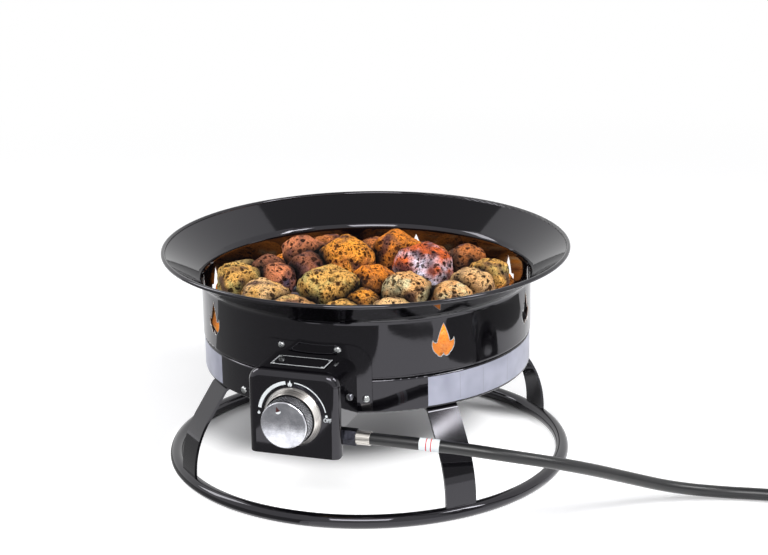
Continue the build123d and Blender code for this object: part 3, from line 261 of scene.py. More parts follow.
# Chrome cap brushed across: a soft mirror with short streaks
brushed, tree, shader = newFinish("brushedChrome", {"Metallic": 1.0})
spot = addNode(tree, "TexCoord").outputs["Object"]
streakCells = [cellsOf(size) for size in (11.1, 11.1, 0.667)]
across = addNode(tree, "Mapping", {"Rotation": (0, 0.4, 0), "Scale": streakCells, "Vector": spot})
streakNoise = {"Scale": 1, "Detail": 4, "Vector": across.outputs["Vector"]}
streak = addNode(tree, "TexNoise", streakNoise).outputs["Fac"]
cloud = addNode(tree, "TexNoise", {"Scale": cellsOf(13.33), "Detail": 4, "Roughness": 0.6, "Vector": spot})
tone = addNode(tree, "ValToRGB", {"stops": rampStops("#b2b3bb", "#e0e1e8"), "Fac": cloud.outputs["Fac"]})
gloss = addNode(tree, "MapRange", {"To Min": 0.06, "To Max": 0.12, "Value": streak})
scratch = addNode(tree, "Bump", {"Strength": 0.25, "Distance": 0.00003, "Height": streak})
feed(tree, shader, {"Base Color": tone.outputs["Color"], "Roughness": gloss.outputs["Result"],
                    "Normal": scratch.outputs["Normal"]})

# Machined brass: warm, slightly dulled by handling
brass = cloudedFinish("machinedBrass", {"Metallic": 1.0}, cloud=(7.14, 4), tones=("#9c7a3c", "#d9b868"),
                      gloss=(0.2, 0.42))

# Black oxide on steel: near black, oily satin
oxide = cloudedFinish("blackOxideSteel", {"Metallic": 1.0}, cloud=(2.86, 4), tones=("#232329", "#3e3f47"),
                      gloss=(0.3, 0.5))

# Stainless burner tube after some fires: straw, brown and blue heat stain
stained = cloudedFinish("heatStainedSteel", {"Metallic": 1.0}, cloud=(22.2, 4),
                        tones=("#77736e", "#8f8a84", "#a58a58", "#7c5a4a", "#5b6272"),
                        at=(0.3, 0.75, 0.45, 0.55, 0.64), gloss=(0.28, 0.5))

# Extruded black rubber: soft sheen along the top, fine drag marks
rubber = cloudedFinish("extrudedBlackRubber", {"IOR": 1.52}, cloud=(28.6, 3), tones=("#0e0e10", "#17171a"),
                       gloss=(0.26, 0.42), grain=(1.11, 3), relief=(0.2, 0.00008))

# Moulded black nylon: matt, fine spark-eroded grain
nylon = cloudedFinish("mouldedBlackNylon", {"Roughness": 0.52, "IOR": 1.53}, cloud=(0.714, 2),
                      tones=("#151517", "#232326"), relief=(0.4, 0.0001))

# Die-cast zinc under grey paint: dull metal grey with a cast skin
cast = cloudedFinish("greyPaintedCasting", {"IOR": 1.5, "Metallic": 0.35}, cloud=(16.7, 3),
                     tones=("#85878a", "#a2a4a6"), gloss=(0.35, 0.55), grain=(1.43, 3), relief=(0.4, 0.00015))

# Silver foil label: pale, a little blue, satin, with slight waves from being pressed on
foil = cloudedFinish("silverFoilLabel", {"Metallic": 0.25, "Roughness": 0.36}, cloud=(33.3, 2),
                     tones=("#999bac", "#b4b6c6"), relief=(0.3, 0.0004))

# Screen-printed inks: flat, slightly raised, uneven cover
inks = {}
for inkName, low, high in (("white", "#dfe6ea", "#f6fafc"), ("red", "#36070a", "#4c0d10"),
                           ("silver", "#b9bcc0", "#e2e4e6"), ("grey", "#8a8c98", "#9a9ca8"),
                           ("scarlet", "#c3262b", "#d8363a")):
    inks[inkName] = cloudedFinish(inkName + "PrintInk", {"Roughness": 0.45}, cloud=(1.11, 2),
                                  tones=(low, high))

# Lava rock: dull and full of gas bubbles, with painted shade inside them; the colour comes from the stone's
# own attribute, and bubbles in cells of 7, 3.5 and 2 mm with grit of about 1 mm lie over it
rockSkin = dict(grit=1.4286, gritShade=[(0.36, (0.25, 0.22, 0.2, 1)), (0.6, (1.2, 1.17, 1.14, 1))],
                gritCover=0.8, swirl=6.25, bend=0.006, rim=(-0.05, 0.07), whole=0.1,
                bubbles=((6.667, 0.46), (3.448, 0.42), (1.786, 0.36)),
                bubbleShade=[(0.0, (0.1, 0.075, 0.06, 1)), (1.0, (1, 1, 1, 1))],
                bubbleCover=0.95, deep=1.6, relief=0.0014)
darken = {"data_type": "RGBA", "blend_type": "MULTIPLY"}
rockFinishes = {}
for rockName, glow in (("lavaRock", 0.0), ("paintedGlowLavaRock", 1.0)):
    rockFinishes[rockName], tree, shader = newFinish(rockName, {"Roughness": 0.9, "Specular IOR Level": 0.2})
    spot = addNode(tree, "TexCoord").outputs["Object"]
    tint = addNode(tree, "Attribute", {"attribute_name": "stoneColour"}).outputs["Color"]
    gritNoise = {"Scale": cellsOf(rockSkin["grit"]), "Detail": 5, "Roughness": 0.7, "Vector": spot}
    height = addNode(tree, "TexNoise", gritNoise).outputs["Fac"]
    grit = addNode(tree, "ValToRGB", {"stops": rockSkin["gritShade"], "Fac": height}).outputs["Color"]
    tone = addNode(tree, "Mix", {**darken, 0: rockSkin["gritCover"], 6: tint, 7: grit}).outputs[2]
    swirl = addNode(tree, "TexNoise", {"Scale": cellsOf(rockSkin["swirl"]), "Detail": 2, "Vector": spot})
    bent = addNode(tree, "VectorMath", {"operation": "MULTIPLY_ADD", 0: swirl.outputs["Color"],
                                        1: [rockSkin["bend"]] * 3, 2: spot})
    for size, widest in rockSkin["bubbles"]:
        # the cell's random colour sets how wide its bubble is, and leaves some cells whole
        bubble = addNode(tree, "TexVoronoi", {"Scale": cellsOf(size), "Vector": bent.outputs["Vector"]})
        chance = addNode(tree, "SeparateColor", {"Color": bubble.outputs["Color"]}).outputs["Red"]
        width = addNode(tree, "MapRange", {**span(rockSkin["whole"], 1.0), "To Max": widest, "Value": chance})
        fromRim = addNode(tree, "Math", {"operation": "SUBTRACT", 0: bubble.outputs["Distance"],
                                         1: width.outputs["Result"]}).outputs["Value"]
        # painted shade darkens each bubble's mouth
        mouth = addNode(tree, "MapRange", {**span(*rockSkin["rim"]), "Value": fromRim}).outputs["Result"]
        dark = addNode(tree, "ValToRGB", {"stops": rockSkin["bubbleShade"], "Fac": mouth}).outputs["Color"]
        tone = addNode(tree, "Mix", {**darken, 0: rockSkin["bubbleCover"], 6: tone, 7: dark}).outputs[2]
        height = addNode(tree, "Math", {"operation": "MULTIPLY_ADD", 0: mouth, 1: rockSkin["deep"],
                                        2: height}).outputs["Value"]
    pitted = addNode(tree, "Bump", {"Strength": 1.0, "Distance": rockSkin["relief"], "Height": height})
    feed(tree, shader, {"Base Color": tone, "Normal": pitted.outputs["Normal"]})
    if glow:
        # painted glow: stones round the burner that show through the vents give off a warm light in place of
        # firelight
        paintedGlow = addNode(tree, "Attribute", {"attribute_name": "paintedStoneGlow"}).outputs["Color"]
        shader.inputs["Emission Strength"].default_value = glow
        feed(tree, shader, {"Emission Color": paintedGlow})
print("finishes made:", len(bpy.data.materials))


# Hose: the run beside the stand, then a flat coil of two layers, out to the regulator
hose = dict(
    radius=7.0, length=3.049, coilCentre=(598.0, 74.4), coilOuter=94.4, pitch=14.6, turns=5, stepsPerTurn=12,
    floor=8.15, layer=14.6, riseTurns=0.5,
    route=[(82, -227, 109.5), (124, -227, 109.5), (176, -221, 107), (226, -210, 100), (272, -184, 87),
           (308, -142, 66), (342, -96, 41), (382, -55, 18), (432, -30, 8), (490, -20, 7.6), (548, -20, 8.15),
           (584, -20, 8.15)],
    tail=(648, -20, 22.75),
)
line = [Vector(point) * mm for point in hose["route"]]
outside = 0.9662  # a quadratic spline with 12 control points a turn runs at this share of their radius
half = hose["turns"] / 2
for step in range(hose["turns"] * hose["stepsPerTurn"]):
    t = (step + 0.5) / hose["stepsPerTurn"]
    reach = (hose["coilOuter"] - hose["pitch"] * (half - abs(t - half))) / outside
    rise = clamp((t - half + hose["riseTurns"] / 2) / hose["riseTurns"])
    rise = rise * rise * (3 - 2 * rise)
    angle = 2 * math.pi * t - math.pi / 2
    point = (hose["coilCentre"][0] + reach * math.cos(angle), hose["coilCentre"][1] + reach * math.sin(angle),
             hose["floor"] + hose["layer"] * rise)
    line.append(Vector(point) * mm)
line.append(Vector(hose["tail"]) * mm)


def hoseCurve(name, points, kind, bevel):
    curve = bpy.data.curves.new(name, "CURVE")
    curve.dimensions = "3D"
    spline = curve.splines.new(kind)
    spline.points.add(len(points) - 1)
    for place, point in zip(spline.points, points):
        place.co = (*point, 1)
    if kind == "NURBS":
        spline.order_u = 3
        spline.use_endpoint_u = True
    curve.resolution_u = 8
    curve.bevel_depth = bevel
    curve.bevel_resolution = 5
    curve.use_fill_caps = True
    piece = bpy.data.objects.new(name, curve)
    scene.collection.objects.link(piece)
    return piece


hosePiece = hoseCurve("gasHose", line, "NURBS", 0)
hoseLine = [vert.co.copy() for vert in evaluated(hosePiece).vertices]
hosePiece.data.bevel_depth = hose["radius"] * mm
hosePiece.data.materials.append(rubber)
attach(hosePiece, "fire_pit")
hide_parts("hose_run", "hose_coil")

# White sleeve with two red bands, shrunk on the hose
sleeve = dict(start=137, end=159, bands=((144.2, 145.3), (149.4, 150.5)), wall=0.25, ink=0.05)
wraps = [("hoseSleeve", sleeve["start"], sleeve["end"], sleeve["wall"], inks["white"])]
wraps += [("sleeveBand%d" % (place + 1), low, high, sleeve["wall"] + sleeve["ink"], inks["scarlet"])
          for place, (low, high) in enumerate(sleeve["bands"])]
for name, start, end, grow, finish in wraps:
    # the stretch of the hose's own line between two x, its ends found between two of the line's points
    inner = [point for point in hoseLine if start * mm < point.x < end * mm]
    before = max((point for point in hoseLine if point.x <= start * mm), key=lambda point: point.x)
    after = min((point for point in hoseLine if point.x >= end * mm), key=lambda point: point.x)
    second, secondLast = (inner + [after])[0], (inner or [before])[-1]
    first = before.lerp(second, (start * mm - before.x) / (second.x - before.x))
    last = after.lerp(secondLast, (after.x - end * mm) / (after.x - secondLast.x))
    bm = bmesh.new()
    absorb(bm, hoseCurve(name + "Line", [first] + inner + [last], "POLY", (hose["radius"] + grow) * mm))
    bmesh.ops.remove_doubles(bm, verts=bm.verts, dist=joinDistance)
    newPiece(name, bm, [finish], "fire_pit")
print("hose laid:", len(line), "control points")


# Lava rock: each stone of the two CAD layers rounded, roughened and pitted
stones = dict(
    # a layer's spots are patches of its third colour: size, contrast, threshold and strength
    layers={"lava_rocks_upper": dict(grain=1.85, rounds=26, keep=1.0, spots=(15.0, 2.4, 0.25, 0.85),
                                     finish="lavaRock", piece="lavaRockPile"),
            "lava_rocks_lower": dict(grain=2.5, rounds=34, keep=0.98, spots=(11.0, 2.2, 0.5, 1.0),
                                     finish="paintedGlowLavaRock", piece="lavaRockBed")},
    # size and depth, and how much of its cell a bubble takes
    lump=(24.0, 2.6), wrinkle=(6.5, 1.3), bubble=(9.5, 2.3, 0.42),
    # patches of the second colour: even share, two sizes with weights, and how much less lies on top
    patches=dict(share=0.5, large=(19.0, 1.1), small=(6.0, 0.5), top=0.55),
    bright=1.75, speck=(3.2, 0.4), hollowShade=0.8, nearby=17.0, markerStep=6, gapShadeFade=(1.35, 0.25),
    # each stone's own part of the noise, and a spread that tells its bubbles apart
    shift=(0.37, 0.61, 0.23), cellSpread=37.0,
    glowFrom=134.0, glowTo=164.0, ventStep=45.0, ventHalf=(6.0, 15.0),
    palette=dict(sand="#d1aa78", tan="#cf9c65", ochre="#c89850", amber="#d68d35", orange="#cf7b28",
                 clay="#be7651", rust="#b06a38", brick="#bd5a2c", brown="#84523c", umber="#5a4032",
                 plum="#443a4a", khaki="#a88e5c", olive="#a39f66", lichen="#c1be98", ash="#c6c3d6",
                 char="#3a2630", gapShade="#120c0f"),
    # stone centres in plan with two colours each, the first mostly on top
    tints=[(-123, -93, "ochre", "olive"), (-112, -36, "brown", "umber"), (-86, -70, "clay", "plum"),
           (-60, -36, "brown", "plum"), (-80, 8, "clay", "brown"), (-20, -14, "amber", "rust"),
           (-8, -106, "ochre", "olive"), (27, 30, "orange", "umber"), (33, -64, "orange", "umber"),
           (76, -12, "brick", "ash"), (80, -88, "tan", "lichen"), (110, 44, "rust", "umber"),
           (148, 9, "ochre", "olive"), (140, -35, "sand", "tan"), (128, -74, "tan", "lichen"),
           (-80, -127, "sand", "ochre"), (34, -114, "amber", "ochre"), (-136, -38, "khaki", "umber"),
           (-66, 58, "rust", "umber"), (-12, 80, "rust", "umber"), (46, 84, "rust", "umber"),
           (-36, -150, "tan", "khaki"), (24, -150, "ochre", "khaki"), (78, -132, "sand", "khaki")],
    bed=("orange", "rust", "sand"),
)


def stoneColour(name):
    return Vector(srgb(stones["palette"][name])[:3])


def grain(at, size):
    return noise.noise(at / (size * mm))


def splitStones(node):
    # a merged copy of a node's mesh as one list of points per stone
    bm = bmesh.new()
    bm.from_mesh(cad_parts[node].data)
    bmesh.ops.remove_doubles(bm, verts=bm.verts, dist=joinDistance)
    groups = []
    seen = set()
    for start in bm.verts:
        if start in seen:
            continue
        group, todo = [], [start]
        seen.add(start)
        while todo:
            vert = todo.pop()
            group.append(vert.co.copy())
            for edge in vert.link_edges:
                other = edge.other_vert(vert)
                if other not in seen:
                    seen.add(other)
                    todo.append(other)
        groups.append(group)
    bm.free()
    return groups


def ventGlowShare(at):
    # how much painted glow a point gets: more the nearer it lies to the wall behind a vent
    glowShare = (at.to_2d().length / mm - stones["glowFrom"]) / (stones["glowTo"] - stones["glowFrom"])
    halfStep = stones["ventStep"] / 2
    aside = abs((math.degrees(math.atan2(at.x, -at.y)) + halfStep) % stones["ventStep"] - halfStep)
    narrow, wide = stones["ventHalf"]
    return clamp(glowShare) * clamp((wide - aside) / (wide - narrow))


def shapeStone(points, layer, seed, colours):
    # hull, voxel remesh, rounding, then lumps and bubbles along the normals
    bm = bmesh.new()
    for point in points:
        bm.verts.new(point)
    hull = bmesh.ops.convex_hull(bm, input=bm.verts[:])
    within = [part for part in hull["geom_interior"] if isinstance(part, bmesh.types.BMVert)]
    bmesh.ops.delete(bm, geom=within, context="VERTS")
    body = objectFrom("stone", bm)
    voxel = body.modifiers.new("voxel", "REMESH")
    voxel.mode = "VOXEL"
    voxel.voxel_size = layer["grain"] * mm
    bm = bmesh.new()
    absorb(bm, body)
    sizes = []
    for repeat in range(layer["rounds"] + 1):
        if repeat in (0, layer["rounds"]):
            spread = [[vert.co[axis] for vert in bm.verts] for axis in range(3)]
            sizes.append([max(row) - min(row) for row in spread])
            middle = Vector([(max(row) + min(row)) / 2 for row in spread])
        bmesh.ops.smooth_vert(bm, verts=bm.verts, factor=0.5, use_axis_x=True, use_axis_y=True,
                              use_axis_z=True)
    back = [layer["keep"] * old / new for old, new in zip(*sizes)]
    bmesh.ops.scale(bm, verts=bm.verts, vec=back, space=Matrix.Translation(-middle))
    bm.normal_update()
    shade = bm.verts.layers.float_color.new("stoneColour")
    paintedGlow = bm.verts.layers.float_color.new("paintedStoneGlow")
    shift = Vector([seed * part for part in stones["shift"]])
    lumpSize, lumpDepth = stones["lump"]
    wrinkleSize, wrinkleDepth = stones["wrinkle"]
    bubbleSize, bubbleDepth, bubbleShare = stones["bubble"]
    patches = stones["patches"]
    largeSize, largeWeight = patches["large"]
    smallSize, smallWeight = patches["small"]
    spotSize, contrast, threshold, strength = layer["spots"]
    speckSize, speckWeight = stones["speck"]
    for vert in bm.verts:
        at = vert.co + shift
        push = lumpDepth * grain(at, lumpSize) + wrinkleDepth * grain(at, wrinkleSize)
        near, cells = noise.voronoi(at / (bubbleSize * mm))
        width = bubbleShare * abs(noise.cell(cells[0] * stones["cellSpread"]))
        hollow = 0
        if near[0] < width:
            hollow = 1 - (near[0] / width) ** 2
            push -= bubbleDepth * hollow
        patch = patches["share"] + largeWeight * grain(at, largeSize) + smallWeight * grain(at, smallSize)
        tone = colours[0].lerp(colours[1], clamp(patch - patches["top"] * vert.normal.z))
        tone = tone.lerp(colours[2], strength * clamp(contrast * grain(at, spotSize) - threshold))
        # painted shade in the hollows of the bubbles
        tone = tone * (1 - stones["hollowShade"] * hollow)
        tone = tone * (stones["bright"] + speckWeight * grain(at, speckSize))
        vert[shade] = (*(max(c, 0) for c in tone), 1)
        # painted glow, strongest near the wall behind a vent
        glowShare = ventGlowShare(vert.co)
        vert[paintedGlow] = (*(glowShare * max(0, c) for c in tone), 1)
        vert.co += vert.normal * push * mm
    return bm


shaped = []
for node, layer in stones["layers"].items():
    for seed, points in enumerate(splitStones(node)):
        names = stones["bed"]
        if node.endswith("upper"):
            middle = sum(points, Vector()) / len(points)
            near = min(stones["tints"],
                       key=lambda tint: (tint[0] * mm - middle.x) ** 2 + (tint[1] * mm - middle.y) ** 2)
            names = (*near[2:], "char")
        shaped.append((node, shapeStone(points, layer, seed + 1, [stoneColour(name) for name in names])))

# Painted shade in the gaps: each stone darkens where it comes close to its neighbours
markers = [(number, vert.co.copy()) for number, (node, stone) in enumerate(shaped)
           for vert in stone.verts[:][::stones["markerStep"]]]
around = kdtree.KDTree(len(markers))
for place, (number, at) in enumerate(markers):
    around.insert(at, place)
around.balance()
gapShade = stoneColour("gapShade")
reach = stones["nearby"] * mm
steep, lag = stones["gapShadeFade"]
# painted shade: a point's colour goes towards the dark gap shade as other stones come near
for number, (node, stone) in enumerate(shaped):
    shade = stone.verts.layers.float_color["stoneColour"]
    for vert in stone.verts:
        near = [gap for at, place, gap in around.find_range(vert.co, reach) if markers[place][0] != number]
        clear = min(near, default=reach) / reach
        vert[shade] = (*gapShade.lerp(Vector(vert[shade][:3]), clamp(steep * clear - lag)), 1)

for node, layer in stones["layers"].items():
    pile = bmesh.new()
    for stone in [stone for owner, stone in shaped if owner == node]:
        mesh = bpy.data.meshes.new("stone")
        stone.to_mesh(mesh)
        stone.free()
        pile.from_mesh(mesh)
        bpy.data.meshes.remove(mesh)
    piece = newPiece(layer["piece"], pile, [rockFinishes[layer["finish"]]], "fire_pit", 180)
    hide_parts(node)
    print(layer["piece"], len(piece.data.polygons), "faces")


# Knob: knurled band between two plain edges, replacing the plain CAD knob
knob = dict(back=-257.0, front=-278.0, backRadius=26.9, frontRadius=26.6, edge=0.5, plain=1.2, wall=3.0,
            bore=12.0, hollow=6.0, bandFrom=20.0, around=44, along=4, tooth=0.8, plainLight=0.55)
bandBack = knob["back"] - knob["plain"]
bandFront = knob["front"] + knob["edge"] + knob["plain"]
bandStep = (bandFront - bandBack) / knob["along"]
lean = (knob["frontRadius"] - knob["backRadius"]) / (knob["front"] - knob["back"])


def knobRadius(y):
    return knob["backRadius"] + lean * (y - knob["back"])


def besideBand(vert):
    return vert.co.y > bandBack * mm + joinDistance or vert.co.y < bandFront * mm - joinDistance


def onBand(face):
    middle = face.calc_center_median()
    outer = Vector((middle.x, middle.z - dialHeight * mm)).length > knob["bandFrom"] * mm
    return outer and not any(besideBand(vert) for vert in face.verts)


bm = bmesh.new()
knurlLight = bm.verts.layers.float_color.new("knurlPaintedLight")
hollowRadius = knobRadius(knob["back"]) - knob["wall"]
profile = [(knob["back"] - knob["hollow"], knob["bore"]), (knob["back"] - knob["hollow"], hollowRadius),
           (knob["back"], hollowRadius), (knob["back"], knobRadius(knob["back"]))]
bandPlaces = [bandBack + bandStep * step for step in range(knob["along"] + 1)]
profile += [(y, knobRadius(y)) for y in bandPlaces]
profile += [(knob["front"] + knob["edge"], knobRadius(knob["front"] + knob["edge"])),
            (knob["front"] + 0.4 * knob["edge"], knobRadius(knob["front"]) - 0.3 * knob["edge"]),
            (knob["front"], knobRadius(knob["front"]) - knob["edge"]), (knob["front"], knob["bore"])]
lathe(bm, [(radius * mm, y * mm, dialHeight * mm) for y, radius in profile], centre=(0, 0, dialHeight * mm),
      axis=(0, 1, 0), steps=knob["around"])
band = [face for face in bm.faces if onBand(face)]
inner = [edge for edge in bm.edges if edge.link_faces and all(face in band for face in edge.link_faces)]
bmesh.ops.poke(bm, faces=band)
bmesh.ops.dissolve_edges(bm, edges=inner)
diamonds = [face for face in bm.faces if len(face.verts) == 4 and onBand(face)]
bm.normal_update()
points = bmesh.ops.poke(bm, faces=diamonds, offset=knob["tooth"] * mm)["verts"]
# painted light: the points bright, the grooves dark, the plain edges in between
for vert in bm.verts:
    edgeLight = knob["plainLight"] if besideBand(vert) else 0.0
    vert[knurlLight] = (edgeLight, edgeLight, edgeLight, 1)
for vert in points:
    vert[knurlLight] = (1, 1, 1, 1)
knobPiece = newPiece("knurledKnob", bm, [knurled], "knob", 20)
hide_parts("knob")
print("knob knurled:", len(diamonds), "diamonds")


# Return spring behind the knob: wound wire; the real one shortens as the knob is pushed, this one is built at
# one length
spring = dict(radius=5.2, wire=0.45, back=-237.05, front=-243.8, turns=3, stepsPerTurn=12)
winding = []
springSteps = spring["turns"] * spring["stepsPerTurn"]
springReach = spring["radius"] / outside
for step in range(springSteps + 1):
    a = 2 * math.pi * step / spring["stepsPerTurn"]
    along = spring["back"] + (spring["front"] - spring["back"]) * step / springSteps
    winding.append(Vector((springReach * math.cos(a), along, dialHeight + springReach * math.sin(a))) * mm)
bm = bmesh.new()
absorb(bm, hoseCurve("springLine", winding, "NURBS", spring["wire"] * mm))
springPiece = newPiece("returnSpring", bm, [drawn], None, 60)
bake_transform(springPiece)
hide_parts("stem_spring")
print("spring wound:", len(winding), "points")


# Dial print on the hood's panel, drawn about the stem's axis; angles from the right, going up
dial = dict(face=-250.0, ink=0.06, thick=dict(inner=37.1, outer=41.0, start=101, end=170),
            thin=dict(inner=38.5, outer=39.7, start=12.5, end=86), dot=dict(angle=6, radius=39.3, size=1.5),
            flame=dict(angle=93.5, radius=38.0, tall=7.4), lowFlame=dict(angle=178, radius=39.6, tall=4.8),
            word=dict(text="OFF", angle=-1.2, radius=40.2, tall=6.6, squeeze=0.78, bold=0.08))
# a flame's outline, and its width, height and middle for a tall of 1
flameShape = dict(wide=0.62, tall=0.7, middle=0.3, outline=[
    (0, 1), (0.16, 0.62), (0.3, 0.3), (0.46, 0.42), (0.56, 0.1), (0.52, -0.14), (0.34, -0.34), (0.1, -0.42),
    (0.12, -0.2), (0, -0.02), (-0.12, -0.2), (-0.1, -0.42), (-0.34, -0.34), (-0.52, -0.14), (-0.56, 0.1),
    (-0.46, 0.42), (-0.3, 0.3), (-0.16, 0.62)])


def onDial(across, up):
    return Vector((across * mm, dial["face"] * mm, (dialHeight + up) * mm))


def roundDial(mark):
    # across and up for a mark's angle and radius
    a = math.radians(mark["angle"])
    return mark["radius"] * math.cos(a), mark["radius"] * math.sin(a)


def thicken(bm):
    # a print's own thickness, towards the viewer
    bmesh.ops.recalc_face_normals(bm, faces=bm.faces)
    grown = bmesh.ops.extrude_face_region(bm, geom=bm.faces[:])
    bmesh.ops.translate(bm, verts=newVerts(grown), vec=(0, -dial["ink"] * mm, 0))
    bmesh.ops.recalc_face_normals(bm, faces=bm.faces)


bm = bmesh.new()
for arc in (dial["thick"], dial["thin"]):
    start = math.radians(arc["start"])
    ends = [bm.verts.new(onDial(reach * math.cos(start), reach * math.sin(start)))
            for reach in (arc["inner"], arc["outer"])]
    edge = bm.edges.new(ends)
    bmesh.ops.spin(bm, geom=ends + [edge], cent=onDial(0, 0), axis=(0, -1, 0),
                   angle=math.radians(arc["end"] - arc["start"]), steps=40)
for flame in (dial["flame"], dial["lowFlame"]):
    across, up = roundDial(flame)
    wide, tall = flame["tall"] * flameShape["wide"], flame["tall"] * flameShape["tall"]
    bm.faces.new([bm.verts.new(onDial(across + x * wide, up + (y - flameShape["middle"]) * tall))
                  for x, y in flameShape["outline"]])
upright = Matrix.Rotation(math.pi / 2, 4, "X")
bmesh.ops.create_circle(bm, cap_ends=True, segments=24, radius=dial["dot"]["size"] * mm,
                        matrix=Matrix.Translation(onDial(*roundDial(dial["dot"]))) @ upright)
thicken(bm)
newPiece("dialScale", bm, [inks["white"]], "fire_pit")

word = dial["word"]
letters = bpy.data.curves.new("offLetters", "FONT")
letters.body = word["text"]
letters.size = word["tall"] * mm
letters.align_x = "CENTER"
letters.align_y = "CENTER"
letters.offset = word["bold"] * mm
lettersObject = bpy.data.objects.new("offLetters", letters)
scene.collection.objects.link(lettersObject)
bm = bmesh.new()
absorb(bm, lettersObject)
bmesh.ops.scale(bm, verts=bm.verts, vec=(word["squeeze"], 1, 1))
bmesh.ops.transform(bm, matrix=Matrix.Translation(onDial(*roundDial(word))) @ upright, verts=bm.verts)
thicken(bm)
newPiece("offMark", bm, [inks["white"]], "fire_pit")

# Pointer on the knob's cap: a dark red triangle over a white foot
pointer = dict(angle=110.0, radius=19.3, wide=5.2, tall=6.2, face=-278.5, parts=[
    ("pointerTriangle", "red", [(0, 0.5), (-0.5, -0.5), (0.5, -0.5)]),
    ("pointerFoot", "white", [(-0.62, -0.5), (-0.5, -0.74), (-0.2, -0.9), (0.2, -0.9), (0.5, -0.74),
                              (0.62, -0.5)])])
for name, inkName, outline in pointer["parts"]:
    bm = bmesh.new()
    for x, y in outline:
        bm.verts.new((x * pointer["wide"] * mm, 0, y * pointer["tall"] * mm))
    bm.faces.new(bm.verts)
    swing = Matrix.Rotation(math.radians(90 - pointer["angle"]), 4, "Y")
    lift = Matrix.Translation(Vector((0, pointer["face"] * mm, dialHeight * mm)))
    outwards = Matrix.Translation((0, 0, pointer["radius"] * mm))
    bmesh.ops.transform(bm, matrix=lift @ swing @ outwards, verts=bm.verts)
    thicken(bm)
    newPiece(name, bm, [inks[inkName]], "knob")
print("dial printed")


# Screws: pan heads with a cross recess, set where the CAD screws are
screw = dict(headRadius=4.2, headHeight=2.6, shankRadius=2.1, shank=6.0, crossLong=4.6, crossWide=1.1,
             crossDeep=1.5,
             head=[(0, 1.0), (0.3, 0.98), (0.6, 0.88), (0.82, 0.68), (0.96, 0.38), (1.0, 0.12), (1.0, 0.0)],
             # angle from the front, radius and height
             sets={"hood_screws": [(9.68, 196.35, 196.0), (-9.68, 196.35, 196.0), (18.6, 196.35, 139.0),
                                   (-18.6, 196.35, 139.0)],
                   "band_screws": [(-27.6, 193.5, 129.0), (152.4, 193.5, 129.0)]},
             firstTwist=25, nextTwist=50,
             sideSet=[(53.0, -209.0, 149.0, 1), (-53.0, -209.0, 149.0, -1)], sideTwist=20)
bm = bmesh.new()
outline = [(x * screw["headRadius"] * mm, 0, z * screw["headHeight"] * mm) for x, z in screw["head"]]
outline += [(screw["shankRadius"] * mm, 0, 0), (screw["shankRadius"] * mm, 0, -screw["shank"] * mm),
            (0, 0, -screw["shank"] * mm)]
lathe(bm, outline, centre=(0, 0, 0), axis=(0, 0, 1), steps=36)
blank = objectFrom("screwBlank", bm)
bm = bmesh.new()
crossSize = Matrix.Diagonal(
    (screw["crossLong"] * mm, screw["crossWide"] * mm, 2 * screw["crossDeep"] * mm, 1))
for turnBy in (0, math.pi / 2):
    tip = Matrix.Translation((0, 0, screw["headHeight"] * mm)) @ Matrix.Rotation(turnBy, 4, "Z")
    bmesh.ops.create_cube(bm, size=1, matrix=tip @ crossSize)
cutter = objectFrom("crossCutter", bm)
cut = blank.modifiers.new("cross", "BOOLEAN")
cut.operation = "DIFFERENCE"
cut.use_self = True
cut.object = cutter
crossHead = evaluated(blank)
for body in (blank, cutter):
    bpy.data.objects.remove(body)


def setScrews(name, node, seats, finish):
    # seats are a place, an outward direction and a turn of the cross
    bm = bmesh.new()
    for place, outward, twist in seats:
        before = len(bm.verts)
        bm.from_mesh(crossHead)
        bm.verts.ensure_lookup_table()
        facing = Vector(outward).to_track_quat("Z", "Y").to_matrix().to_4x4()
        seat = Matrix.Translation(Vector(place) * mm) @ facing @ Matrix.Rotation(math.radians(twist), 4, "Z")
        bmesh.ops.transform(bm, matrix=seat, verts=bm.verts[before:])
    piece = newPiece(name, bm, [finish], "fire_pit", 30)
    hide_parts(node)


for node, seats in screw["sets"].items():
    places = []
    for number, (angle, radius, height) in enumerate(seats):
        outward = (math.sin(math.radians(angle)), -math.cos(math.radians(angle)), 0)
        twist = screw["firstTwist"] + screw["nextTwist"] * number
        places.append(((radius * outward[0], radius * outward[1], height), outward, twist))
    setScrews(node.replace("_screws", "CrossScrews"), node, places, zinc)
sideSeats = [((x, y, z), (side, 0, 0), screw["sideTwist"] * side) for x, y, z, side in screw["sideSet"]]
setScrews("sideCrossScrews", "side_screws", sideSeats, smoked)
print("screws set")


# Vent edges: the sheet's bare cut edge round each vent, found as the bowl's sharp edges at its outer wall
ventEdge = dict(radius=195.0, within=0.6, low=150.0, high=232.0, sharp=50, leastTall=20, wire=0.45,
                bevelSteps=2)
sheet = bmesh.new()
sheet.from_mesh(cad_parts["bowl"].data)
bmesh.ops.remove_doubles(sheet, verts=sheet.verts, dist=joinDistance)


def onVent(vert):
    return (abs(vert.co.to_2d().length / mm - ventEdge["radius"]) < ventEdge["within"]
            and ventEdge["low"] < vert.co.z / mm < ventEdge["high"])


edges = [edge for edge in sheet.edges
         if len(edge.link_faces) == 2 and edge.calc_face_angle() > math.radians(ventEdge["sharp"])
         and all(onVent(vert) for vert in edge.verts)]
outlines = []
while edges:
    trail = list(edges.pop().verts)
    while True:
        onward = next((other for other in trail[-1].link_edges if other in edges), None)
        if onward is None:
            break
        edges.remove(onward)
        trail.append(onward.other_vert(trail[-1]))
    heights = [vert.co.z for vert in trail]
    if max(heights) - min(heights) >= ventEdge["leastTall"] * mm:
        outlines.append([vert.co.copy() for vert in trail])
sheet.free()
bm = bmesh.new()
for outline in outlines:
    lip = hoseCurve("ventLine", outline[:-1], "POLY", ventEdge["wire"] * mm)
    lip.data.splines[0].use_cyclic_u = True
    lip.data.bevel_resolution = ventEdge["bevelSteps"]
    absorb(bm, lip)
newPiece("ventEdges", bm, [zinc], "fire_pit", 60)
print("vents edged:", len(outlines))


